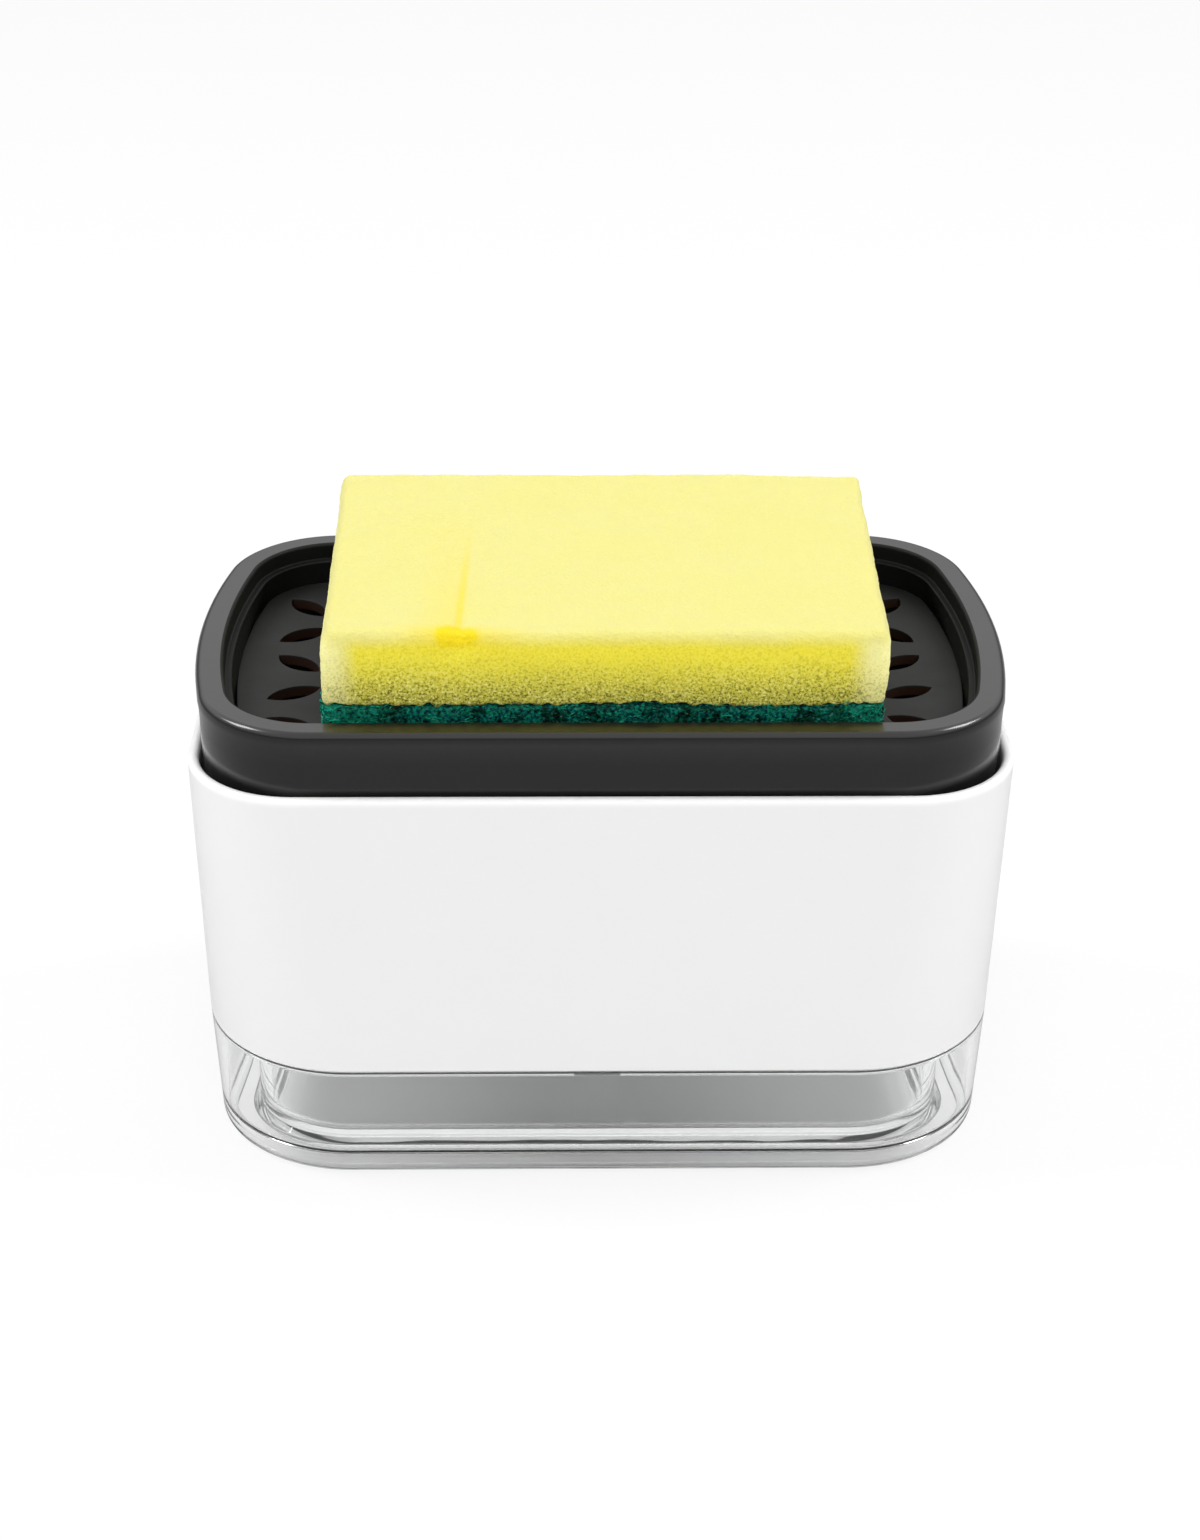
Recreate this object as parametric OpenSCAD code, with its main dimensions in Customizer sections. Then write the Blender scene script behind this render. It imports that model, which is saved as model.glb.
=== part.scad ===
// Countertop soap pump caddy: a clear reservoir in a white sleeve, with a dark press tray on top.
// Pressing the tray works a spring pump inside, and soap comes up through the drain plate.
// Millimetres, +Z up, the origin at the middle of the foot.

/* [Caddy] */
// Width of the sleeve at its top edge
caddy_w = 140; // [125:1:170]
// Depth of the sleeve at its top edge
caddy_d = 87.2; // [82:1:110]
// Corner radius of the sleeve at its top edge
sleeve_top_r = 18.8; // [17:0.1:24]
// Corner radius of the sleeve at its foot, and of the tank base under it
sleeve_foot_r = 26; // [24:0.1:30]

/* [Tank] */
// Height of the clear base that shows under the sleeve
base_h = 22; // [18:0.5:30]
// How far the base draws in from its shoulder to the counter, each side
base_draft = 1.1; // [0.5:0.1:2]
// Radius of the edge around the foot
foot_edge_r = 0.9; // [0.6:0.1:1.2]
// Thickness of the outer wall of the base, at the foot
base_wall = 2; // [1.8:0.1:2.6]
// Width of the groove between that wall and the vessel, open from below
groove_w = 5.5; // [4:0.1:7]
// Thickness of the web over the groove, which the neck and the sleeve stand on
web_t = 1.7; // [1.4:0.1:3]
// Thickness of the vessel's wall in the base
vessel_wall = 2; // [1.6:0.1:2.6]
// Thickness of the vessel's floor
tank_floor_t = 2.5; // [2:0.1:3.5]
// How far that floor stands clear of the counter
floor_lift = 1.2; // [0.6:0.1:2]
// Radius of the corner between the vessel's wall and its floor, inside
tank_cove_r = 3; // [1.5:0.1:4]
// Thickness of the tank wall inside the sleeve
tank_wall = 2.5; // [2:0.1:3]

/* [Sleeve] */
// Thickness of the sleeve wall
sleeve_wall = 1.9; // [1.4:0.1:2.3]
// Height of the sleeve
sleeve_h = 53; // [50:0.5:60]
// How far the sleeve draws in from its top edge to its foot, each side
sleeve_draft = 0.3; // [0.1:0.1:0.8]
// Gap between the sleeve and the tank wall inside it
sleeve_gap = 0.3; // [0.2:0.05:0.5]

/* [Press tray] */
// How far the rim stands in from the outside of the sleeve
rim_inset = 0.8; // [0.6:0.1:1.2]
// How much rounder the rim's corners are than the sleeve around the skirt
rim_ease = 1; // [0.5:0.1:2]
// Width of the flat band around the rim
rim_band = 5; // [4.4:0.1:6]
// Radius of the rim's outer edge
rim_edge_r = 1.2; // [0.6:0.1:1.6]
// Gap between the tray skirt and the sleeve
skirt_gap = 0.4; // [0.3:0.05:0.6]
// Height over which the skirt flares out to the rim
flare_h = 4; // [3:0.1:6]
// Thickness of the tray skirt
skirt_t = 2; // [1.6:0.1:2.4]
// Drop from the rim to the narrow ledge inside it
ledge_drop = 3; // [2:0.1:3.5]
// Width of that ledge
ledge_w = 1.3; // [0.8:0.1:1.8]
// Drop from the rim to the top of the drain plate
basin_drop = 7; // [6:0.1:7.5]
// Thickness of the drain plate
plate_t = 2; // [1.6:0.1:2.4]
// Gap around the drain plate
plate_gap = 0.4; // [0.3:0.05:0.6]
// Thickness of the tray floor under the plate
tray_floor_t = 2; // [1.6:0.1:2.4]
// Width of the ribs between the drain windows in that floor
drain_rib = 2.6; // [2:0.1:4]

/* [Leaf slots] */
// Length of one slot, tip to tip
leaf_len = 10; // [8:0.1:11]
// Width of one slot at its middle
leaf_w = 4.6; // [3:0.1:5]
// Distance from column to column, side to side
column_pitch = 11.4; // [11.2:0.1:13]
// Distance from the end columns to the inside of the tray
leaf_edge = 10; // [8:0.1:12]
// Distance from the end rows to the inside of the tray
row_edge = 12.3; // [11:0.1:13]
// Tilt of the slots in the left column, front to back, in degrees
left_tilts = [-24, 28, -42, 35, -50]; // [-90:1:90]
// Tilt of the slots in the right column, front to back, in degrees
right_tilts = [-32, 22, 38, -44, 52]; // [-90:1:90]

/* [Deck and collar] */
// Thickness of the sealing ring on the tank's mouth
seal_t = 1.5; // [1:0.1:2.5]
// Thickness of the deck that closes the tank
deck_t = 2.5; // [2:0.1:3.5]
// Height of the rib that centres the deck in the tank's mouth
deck_rib_h = 4; // [2:0.1:6]
// Thickness of that rib
deck_rib_t = 1.5; // [1:0.1:2]
// Gap between that rib and the tank
deck_gap = 0.4; // [0.3:0.05:0.8]
// Thickness of the wall of the deck's neck, which the lock nut grips
neck_t = 2; // [1.5:0.1:2.5]
// Thickness of the lock nut's wall and top
nut_t = 2; // [1.5:0.1:2.5]
// Number of grip ribs around the lock nut
nut_ribs = 24; // [12:1:36]

/* [Pump] */
// Radius of the pump's bore
bore_r = 6.2; // [5.8:0.1:7]
// Thickness of the barrel wall
barrel_t = 1.8; // [1.4:0.1:2.4]
// Travel of the pump when the tray is pressed
stroke = 7; // [5:0.5:7]
// Radius of the stem
stem_r = 3.4; // [3.2:0.1:3.6]
// Radius of the channel through the stem
stem_bore_r = 1.4; // [1.2:0.1:1.6]
// Radial play of the stem in its bush and of the seal in the bore
running_fit = 0.05; // [0.03:0.01:0.1]
// Radius of the barrel's flange
flange_r = 12; // [11.5:0.1:14]
// Thickness of the barrel's flange
flange_t = 2; // [1.5:0.1:2.5]
// Thickness of the washer under the flange
washer_t = 1; // [0.8:0.1:1.4]
// Thickness of the guide bush's flange
bush_t = 1.5; // [1:0.1:2]
// Length of the guide bush inside the barrel
bush_plug_h = 5; // [4:0.1:6]
// Height of the piston seal
piston_h = 6; // [5:0.1:7]
// Height of the cup that holds the spring under the seal
cup_h = 2; // [1.6:0.1:2.4]
// Height of the pump foot above the tank floor
foot_clear = 16.3; // [15:0.1:16.8]
// Thickness of the pump foot
pump_foot_t = 1.5; // [1:0.1:2]
// Radius of the inlet ball
inlet_ball_r = 2.2; // [2:0.1:2.3]
// Radius of the outlet ball
outlet_ball_r = 1.8; // [1.7:0.05:1.9]
// Lift of the inlet ball
inlet_lift = 1.2; // [0.8:0.1:1.4]
// Lift of the outlet ball
outlet_lift = 0.8; // [0.5:0.1:0.9]
// Height of the pump head
head_h = 6; // [5.6:0.1:8]
// Radius of the pump head in the tray's socket
head_r = 6.5; // [6.2:0.1:7.5]
// Gap between the pump head and the tray's socket
socket_gap = 0.15; // [0.1:0.05:0.3]
// Thickness of the socket's wall
socket_t = 2; // [1.5:0.1:2.5]
// Height of the dip tube's mouth above the tank floor
dip_clear = 2; // [1.5:0.1:4]

/* [Return spring] */
// Mean radius of the spring's coil
spring_r = 4.6; // [4.3:0.1:4.8]
// Thickness of the spring wire
wire_d = 0.9; // [0.7:0.05:1]
// Number of turns
spring_turns = 6; // [4:1:7]

/* [Sponge] */
// Width of the sponge
sponge_w = 93.5; // [80:0.5:100]
// Gap between the sponge and the basin, in front and behind
sponge_fit = 0.5; // [0.4:0.1:3]
// Thickness of the yellow foam
foam_t = 13.4; // [10:0.1:22]
// Thickness of the green scouring pad
pad_t = 8.3; // [4:0.1:10]
// Radius of the sponge's corners
sponge_r = 3; // [2:0.1:5]
// Gap between the sponge and the drain plate
rest_gap = 0.3; // [0.2:0.05:0.5]

/* [Hidden] */
$fn = 64;
// Sides of the faceted outlines
shell_sides = 96;
sponge_sides = 20;
// How far a cut runs past the face that it opens
over = 1;

// Room left over the deck and the lock nut when the tray is fully down
press_room = 1;

// Heights, from the foot up to the rim and then down through the pump to the tank's mouth
sleeve_top = base_h + sleeve_h;
flare_z = sleeve_top + stroke + press_room / 2;
rim_z = flare_z + flare_h;
plate_top = rim_z - basin_drop;
plate_z = plate_top - plate_t;
tray_floor_z = plate_z - tray_floor_t;
head_top = tray_floor_z + tray_floor_t / 2;
head_z = head_top - head_h;
nut_top = head_z - stroke - press_room;
nut_top_z = nut_top - nut_t;
bush_z = nut_top_z - bush_t;
flange_z = bush_z - flange_t;
washer_z = flange_z - washer_t;
deck_top = washer_z;
deck_z = deck_top - deck_t;
mouth_z = deck_z - seal_t;
skirt_z = deck_top + stroke + press_room;

// Outlines: half width, half depth and corner radius
sleeve_half = [caddy_w / 2, caddy_d / 2];
shoulder_half = sleeve_half - [sleeve_draft, sleeve_draft];
rim_half = sleeve_half - [rim_inset, rim_inset];
// The skirt's corners clear the sleeve's, which are rounder further down
skirt_low_share = (skirt_z - stroke - base_h) / sleeve_h;
sleeve_low_r = sleeve_foot_r + (sleeve_top_r - sleeve_foot_r) * skirt_low_share;
rim_r = sleeve_low_r - rim_inset + rim_ease;
// Offsets from the shoulder outline to the two faces of the tank wall
neck_face = -(sleeve_wall + sleeve_gap);
inner_face = neck_face - tank_wall;
// Offsets from the rim outline to the faces of the tray
skirt_face = rim_inset - sleeve_wall - skirt_gap;
skirt_inner = skirt_face - skirt_t;
basin_face = -rim_band - ledge_w;
slab_face = basin_face - ledge_w;
rim_inner_r = rim_edge_r / 2;
flare_top = rim_z - rim_edge_r;

// Offsets from the shoulder outline to the faces of the groove and of the vessel, at the foot
groove_out = -base_draft - base_wall;
groove_in = groove_out - groove_w;
vessel_face = groove_in - vessel_wall;
groove_top = base_h - web_t;
// How far each face of the groove and of the vessel leans, so that the moulding comes off its core
core_draft = base_draft / 4;
floor_top = floor_lift + tank_floor_t;

// Inside the pump
plug_z = bush_z - bush_plug_h;
piston_z = plug_z - piston_h - press_room / 2;
cup_z = piston_z - cup_h;
foot_z = floor_top + foot_clear;
chamber_z = foot_z + pump_foot_t;
// Height of a ball's middle over the edge of the hole that it closes, with a little play
ball_play = 0.1;
seat_share = 0.73;
seat_r = inlet_ball_r * seat_share;
inlet_z = chamber_z + sqrt(pow(inlet_ball_r, 2) - pow(seat_r, 2)) + ball_play;
cage_z = inlet_z + inlet_ball_r + inlet_lift + ball_play;
cage_t = 1;
spring_z = cage_z + cage_t;
spring_h = cup_z - spring_z;
outlet_r = outlet_ball_r * seat_share;
stem_top = head_top - outlet_lift - 2 * outlet_ball_r - 1.5 * ball_play;
stem_seat = sqrt(pow(outlet_ball_r, 2) - pow(stem_bore_r, 2));
outlet_z = stem_top + stem_seat + ball_play;
outlet_top = outlet_z + outlet_ball_r + outlet_lift + ball_play;
barrel_r = bore_r + barrel_t;
neck_r = flange_r + deck_gap;
neck_top = nut_top_z - 2 * running_fit;
nut_bore_r = neck_r + neck_t + deck_gap;
nut_r = nut_bore_r + nut_t;
rib_w = nut_t / 2;
spigot_r = seat_r + barrel_t;
spigot_h = foot_clear / 2;
tube_t = 1;
socket_r = head_r + socket_gap;

// Drain plate
plate_off = basin_face - plate_gap;
leaf_x0 = rim_half[0] + basin_face - leaf_edge;
leaf_y0 = rim_half[1] + basin_face - row_edge;
leaf_rows = len(left_tilts);
leaf_columns = 3;
row_pitch = 2 * leaf_y0 / (leaf_rows - 1);
function row_y(row) = row * row_pitch - leaf_y0;
cap_r = head_r + plate_t;
cap_t = plate_t / 2;
cap_holes = 5;

// Sponge
sponge_half = [sponge_w / 2, rim_half[1] + basin_face - sponge_fit];
pad_z = plate_top + rest_gap;
foam_z = pad_z + pad_t;

// Places a profile's straight runs and round corners along a rounded rectangle. The profile's
// first value is its offset from the outline, outwards, and its second is its height.
module rounded_ring(half, r, profile) {
    for (k = [0:3]) {
        ahead = half[k % 2];
        aside = half[(k + 1) % 2];
        rotate([0, 0, k * 90]) {
            translate([ahead, 0, 0])
                rotate([90, 0, 0])
                    linear_extrude(height = 2 * (aside - r), center = true)
                        polygon(profile);
            translate([ahead - r, aside - r, 0])
                rotate_extrude(angle = 90)
                    translate([r, 0])
                        polygon(profile);
        }
    }
}

// A rectangle with round corners, drawn flat
module rounded_outline(half, r) {
    square([2 * half[0], 2 * (half[1] - r)], center = true);
    square([2 * (half[0] - r), 2 * half[1]], center = true);
    for (x = [-1, 1], y = [-1, 1])
        translate([x * (half[0] - r), y * (half[1] - r)])
            circle(r);
}

// A plate with round corners, moved in or out from an outline
module rounded_plate(half, r, off, z, h) {
    translate([0, 0, z])
        linear_extrude(height = h)
            rounded_outline(half + [off, off], r + off);
}

// Points of a quarter round about a centre
function quarter(c, r, from, steps) =
    [for (i = [0:steps]) c + r * [cos(from - 90 * i / steps), sin(from - 90 * i / steps)]];

// A tube about the vertical axis
module tube(r_out, r_in, z, h) {
    translate([0, 0, z])
        difference() {
            cylinder(r = r_out, h = h);
            translate([0, 0, -over])
                cylinder(r = r_in, h = h + 2 * over);
        }
}

// Clear tank: an outer wall and a vessel inside it, joined by a web, with the neck standing on the web
module tank() {
    arc_steps = 8;
    c_out = [-base_draft - foot_edge_r, foot_edge_r];
    c_in = [vessel_face - tank_cove_r, floor_top + tank_cove_r];
    slab = vessel_face - tank_cove_r;
    wall = concat(
        [
            [slab, floor_lift], [groove_in, floor_lift], [groove_in + core_draft, groove_top],
            [groove_out - core_draft, groove_top], [groove_out, 0], [c_out[0], 0]
        ],
        [for (i = [1:arc_steps]) c_out + foot_edge_r * [sin(90 * i / arc_steps), -cos(90 * i / arc_steps)]],
        [
            [0, base_h], [neck_face, base_h], [neck_face, mouth_z], [inner_face, mouth_z],
            [inner_face, base_h], [vessel_face + core_draft, base_h]
        ],
        quarter(c_in, tank_cove_r, 0, arc_steps)
    );
    color([0.86, 0.88, 0.88, 0.5])
        union() {
            rounded_ring(shoulder_half, sleeve_foot_r, wall);
            rounded_plate(shoulder_half, sleeve_foot_r, slab, floor_lift, tank_floor_t);
        }
}

// One closed block of the sleeve, wider at its top edge and rounder at its foot
module sleeve_block(inset, z_over) {
    top = sleeve_half - [inset, inset];
    foot = shoulder_half - [inset, inset];
    sheet = over / 100;
    hull() {
        translate([0, 0, base_h - z_over])
            linear_extrude(height = sheet)
                rounded_outline(foot, sleeve_foot_r - inset, $fn = shell_sides);
        translate([0, 0, sleeve_top + z_over - sheet])
            linear_extrude(height = sheet)
                rounded_outline(top, sleeve_top_r - inset, $fn = shell_sides);
    }
}

// White sleeve, open at both ends, standing on the tank's shoulder
module sleeve() {
    color([0.94, 0.94, 0.94])
        difference() {
            sleeve_block(0, 0);
            sleeve_block(sleeve_wall, over);
        }
}

// Soft ring between the tank's mouth and the deck
module mouth_seal() {
    ring = [
        [inner_face, mouth_z], [neck_face, mouth_z],
        [neck_face, deck_z], [inner_face, deck_z]
    ];
    color([0.75, 0.77, 0.78])
        rounded_ring(shoulder_half, sleeve_foot_r, ring);
}

// Deck that closes the tank and carries the pump in a threaded neck
module deck() {
    rib_out = inner_face - deck_gap;
    rib_in = rib_out - deck_rib_t;
    edge = [
        [rib_in, deck_top], [rib_in, deck_z - deck_rib_h], [rib_out, deck_z - deck_rib_h],
        [rib_out, deck_z], [neck_face, deck_z], [neck_face, deck_top]
    ];
    color([0.32, 0.32, 0.33])
        difference() {
            union() {
                rounded_ring(shoulder_half, sleeve_foot_r, edge);
                rounded_plate(shoulder_half, sleeve_foot_r, rib_in, deck_z, deck_t);
                tube(neck_r + neck_t, neck_r, deck_z + deck_t / 2, neck_top - deck_z - deck_t / 2);
            }
            translate([0, 0, deck_z - over])
                cylinder(r = barrel_r + deck_gap, h = deck_t + 2 * over);
        }
}

// Flat washer under the barrel's flange
module pump_washer() {
    color([0.6, 0.62, 0.62])
        tube(flange_r, barrel_r + deck_gap, washer_z, washer_t);
}

// Pump barrel with its flange, its foot, the inlet seat and the spigot for the dip tube
module pump_barrel() {
    color([0.9, 0.9, 0.88])
        difference() {
            union() {
                translate([0, 0, foot_z])
                    cylinder(r = barrel_r, h = flange_z + flange_t - foot_z);
                translate([0, 0, flange_z])
                    cylinder(r = flange_r, h = flange_t);
                translate([0, 0, foot_z - spigot_h])
                    cylinder(r = spigot_r, h = spigot_h + pump_foot_t);
            }
            translate([0, 0, cage_z])
                cylinder(r = bore_r, h = bush_z - cage_z + over);
            translate([0, 0, chamber_z])
                cylinder(r = inlet_ball_r + deck_gap, h = cage_z - chamber_z + over);
            translate([0, 0, foot_z - spigot_h - over])
                cylinder(r = seat_r, h = spigot_h + pump_foot_t + 2 * over);
        }
}

// Bush that closes the barrel and guides the stem
module guide_bush() {
    color([0.86, 0.86, 0.84])
        difference() {
            union() {
                translate([0, 0, plug_z])
                    cylinder(r = bore_r - running_fit, h = bush_plug_h);
                translate([0, 0, bush_z])
                    cylinder(r = flange_r - deck_gap, h = bush_t);
            }
            translate([0, 0, plug_z - over])
                cylinder(r = stem_r + running_fit, h = bush_plug_h + bush_t + 2 * over);
        }
}

// Ribbed nut that clamps the bush and the barrel to the deck's neck
module lock_nut() {
    nut_z = deck_top + deck_gap;
    color([0.3, 0.3, 0.31])
        difference() {
            union() {
                translate([0, 0, nut_z])
                    cylinder(r = nut_r, h = nut_top - nut_z);
                for (k = [0:nut_ribs - 1])
                    rotate([0, 0, k * 360 / nut_ribs])
                        translate([nut_r - rib_w, -rib_w / 2, nut_z])
                            cube([2 * rib_w, rib_w, nut_top - nut_z - rib_w]);
            }
            translate([0, 0, nut_z - over])
                cylinder(r = nut_bore_r, h = nut_top_z - nut_z + over);
            translate([0, 0, nut_top_z - over])
                cylinder(r = stem_r + nut_t, h = nut_t + 2 * over);
        }
}

// Short tube from the pump's foot to just above the tank floor
module dip_tube() {
    z = floor_top + dip_clear;
    color([0.88, 0.9, 0.9])
        tube(spigot_r + tube_t, spigot_r, z, foot_z - z - running_fit);
}

// Ball that closes the inlet
module inlet_ball() {
    color([0.75, 0.75, 0.77])
        translate([0, 0, inlet_z])
            sphere(r = inlet_ball_r);
}

// Pierced washer over the inlet ball, which the spring stands on
module ball_cage() {
    holes = 4;
    hole_r = seat_r / 2;
    color([0.8, 0.8, 0.8])
        translate([0, 0, cage_z])
            difference() {
                cylinder(r = bore_r - running_fit, h = cage_t);
                for (k = [0:holes - 1])
                    rotate([0, 0, k * 360 / holes])
                        translate([inlet_ball_r - hole_r, 0, -over])
                            cylinder(r = hole_r, h = cage_t + 2 * over);
            }
}

// Points of one ring of the spring wire, at turn t counted from the foot
wire_r = wire_d / 2;
rings_a_turn = 8;
wire_sides = 6;
spring_rise = spring_h - wire_d;
function coil_point(t) =
    [spring_r * cos(360 * t), spring_r * sin(360 * t),
        spring_z + wire_r + spring_rise * t / spring_turns];
function wire_ring(t) =
    [for (s = [0:wire_sides - 1])
        let (a = 360 * s / wire_sides, r = spring_r + wire_r * cos(a))
            [r * cos(360 * t), r * sin(360 * t), coil_point(t)[2] + wire_r * sin(a)]];

// Compression spring between the cage and the cup
module return_spring() {
    rings = spring_turns * rings_a_turn;
    points = [for (i = [0:rings]) each wire_ring(i / rings_a_turn)];
    walls = [for (i = [0:rings - 1], s = [0:wire_sides - 1])
        let (a = i * wire_sides + s, b = i * wire_sides + (s + 1) % wire_sides)
            each [[a, a + wire_sides, b], [b, a + wire_sides, b + wire_sides]]];
    low_end = [for (s = [1:wire_sides - 2]) [0, s, s + 1]];
    top = rings * wire_sides;
    top_end = [for (s = [1:wire_sides - 2]) [top, top + s + 1, top + s]];
    gaps = [for (i = [0:rings - rings_a_turn], j = [i + rings_a_turn / 2:min(rings, i + 2 * rings_a_turn)])
        norm(coil_point(i / rings_a_turn) - coil_point(j / rings_a_turn)) - wire_d];
    echo("least gap of the spring to itself, mm", min(gaps));
    color([0.7, 0.72, 0.74])
        polyhedron(points = points, faces = concat(walls, low_end, top_end));
}

// Cup under the seal that takes the spring's thrust
module spring_cup() {
    color([0.84, 0.84, 0.82])
        tube(spring_r + wire_d, stem_r, cup_z, cup_h);
}

// Piston seal with a lip at each end
module piston_seal() {
    lip = piston_h / 4;
    waist = bore_r - barrel_t / 2;
    outline = [
        [stem_r, 0], [waist, 0], [bore_r - running_fit, 0], [bore_r - running_fit, lip / 2],
        [waist, lip], [waist, piston_h - lip], [bore_r - running_fit, piston_h - lip / 2],
        [bore_r - running_fit, piston_h], [stem_r, piston_h]
    ];
    color([0.2, 0.2, 0.21])
        translate([0, 0, piston_z])
            rotate_extrude()
                polygon(outline);
}

// Hollow stem from the spring cup up to the outlet seat
module stem() {
    color([0.9, 0.9, 0.88])
        tube(stem_r, stem_bore_r, cup_z, stem_top - cup_z);
}

// Pump head on the stem, with the outlet ball's chamber and the spout that feeds the nozzle cap
module pump_head() {
    color([0.3, 0.3, 0.31])
        difference() {
            translate([0, 0, head_z])
                cylinder(r = head_r, h = head_top - head_z);
            translate([0, 0, head_z - over])
                cylinder(r = stem_r, h = stem_top - head_z + over);
            translate([0, 0, stem_top - over])
                cylinder(r = outlet_ball_r + 2 * socket_gap, h = outlet_top - stem_top + over);
            translate([0, 0, stem_top])
                cylinder(r = outlet_r, h = head_top - stem_top + over);
        }
}

// Ball that closes the outlet
module outlet_ball() {
    color([0.75, 0.75, 0.77])
        translate([0, 0, outlet_z])
            sphere(r = outlet_ball_r);
}

// Dark press tray: rim, basin, skirt, the floor with its drain windows and the pump's socket
module press_tray() {
    arc_steps = 8;
    flare_steps = 6;
    flare = [for (i = [0:flare_steps])
        [skirt_face * (1 + cos(180 * i / flare_steps)) / 2,
            flare_z + (flare_top - flare_z) * i / flare_steps]];
    wall = concat(
        [[skirt_inner, skirt_z], [skirt_face, skirt_z]],
        flare,
        [for (i = [1:arc_steps])
            [-rim_edge_r, rim_z - rim_edge_r] + rim_edge_r * [cos(90 * i / arc_steps), sin(90 * i / arc_steps)]],
        [for (i = [0:arc_steps])
            [-rim_band + rim_inner_r, rim_z - rim_inner_r]
                + rim_inner_r * [-sin(90 * i / arc_steps), cos(90 * i / arc_steps)]],
        [
            [-rim_band, rim_z - ledge_drop], [basin_face, rim_z - ledge_drop],
            [basin_face, plate_z], [slab_face, plate_z], [slab_face, tray_floor_z],
            [skirt_inner, tray_floor_z]
        ]
    );
    window_x0 = socket_r + 2 * socket_t;
    window_x1 = leaf_x0 + leaf_len / 2;
    window = [window_x1 - window_x0, row_pitch - drain_rib, tray_floor_t + 2 * over];
    color([0.25, 0.25, 0.25])
        difference() {
            union() {
                rounded_ring(rim_half, rim_r, wall);
                rounded_plate(rim_half, rim_r, slab_face, tray_floor_z, tray_floor_t);
                tube(socket_r + socket_t, socket_r, head_z, tray_floor_z + tray_floor_t / 2 - head_z);
            }
            translate([0, 0, head_z - over])
                cylinder(r = socket_r, h = head_top + socket_gap - head_z + over);
            translate([0, 0, head_top])
                cylinder(r = outlet_ball_r + over, h = tray_floor_t + over);
            for (side = [-1, 1], row = [0:leaf_rows - 1])
                translate([side * (window_x0 + window_x1) / 2, row_y(row), tray_floor_z + tray_floor_t / 2])
                    cube(window, center = true);
        }
}

// One leaf-shaped slot, pointed at both ends
module leaf(tilt) {
    r = (pow(leaf_len, 2) + pow(leaf_w, 2)) / (4 * leaf_w);
    rotate([0, 0, tilt])
        linear_extrude(height = plate_t + 2 * over)
            intersection() {
                translate([0, r - leaf_w / 2])
                    circle(r);
                translate([0, leaf_w / 2 - r])
                    circle(r);
            }
}

// Drain plate that lies in the basin, with rows of leaf slots and a seat for the nozzle cap
module drain_plate() {
    color([0.31, 0.31, 0.31])
        difference() {
            rounded_plate(rim_half, rim_r, plate_off, plate_z, plate_t);
            translate([0, 0, plate_top - cap_t])
                cylinder(r = cap_r + plate_gap, h = cap_t + over);
            translate([0, 0, plate_z - over])
                cylinder(r = head_r, h = plate_t + over);
            for (row = [0:leaf_rows - 1], column = [0:leaf_columns - 1])
                translate([0, row_y(row), plate_z - over]) {
                    swing = column % 2 == 0 ? 1 : -1;
                    translate([-leaf_x0 + column * column_pitch, 0, 0])
                        leaf(swing * left_tilts[row]);
                    translate([leaf_x0 - column * column_pitch, 0, 0])
                        leaf(swing * right_tilts[row]);
                }
        }
}

// Cap flush with the drain plate, pierced where the soap comes up under the sponge
module nozzle_cap() {
    hole_r = stem_bore_r / 2;
    color([0.28, 0.28, 0.28])
        translate([0, 0, plate_top - cap_t])
            difference() {
                cylinder(r = cap_r, h = cap_t);
                for (k = [0:cap_holes - 1])
                    rotate([0, 0, k * 360 / cap_holes])
                        translate([stem_r, 0, -over])
                            cylinder(r = hole_r, h = cap_t + 2 * over);
            }
}

// Yellow foam with its top edges rounded
module sponge_foam() {
    half = sponge_half - [sponge_r, sponge_r];
    color([0.98, 0.93, 0.45])
        hull()
            for (x = [-1, 1], y = [-1, 1])
                translate([x * half[0], y * half[1], foam_z]) {
                    cylinder(r = sponge_r, h = sponge_r, $fn = sponge_sides);
                    translate([0, 0, foam_t - sponge_r])
                        sphere(r = sponge_r, $fn = sponge_sides);
                }
}

// Green scouring pad glued under the foam
module scouring_pad() {
    color([0.0, 0.32, 0.27])
        rounded_plate(sponge_half, sponge_r, 0, pad_z, pad_t);
}

tank();
sleeve();
mouth_seal();
deck();
pump_washer();
pump_barrel();
guide_bush();
lock_nut();
dip_tube();
inlet_ball();
ball_cage();
return_spring();
spring_cup();
piston_seal();
stem();
pump_head();
outlet_ball();
press_tray();
drain_plate();
nozzle_cap();
sponge_foam();
scouring_pad();
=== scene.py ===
"""Soap pump caddy, dressed around its construction model.

The pieces that show are modelled here with moulded edges, open foam cells and loose scouring fibres.
The parts of the pump keep their construction meshes and get finishes. All lengths are in metres, in the
model's own frame: +Z up, the front towards -Y, the origin in the middle of the foot.
"""

import math
import random

import bmesh
import bpy
from bpy.props import FloatProperty, FloatVectorProperty, IntProperty, PointerProperty
from mathutils import Matrix, Vector, noise


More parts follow.
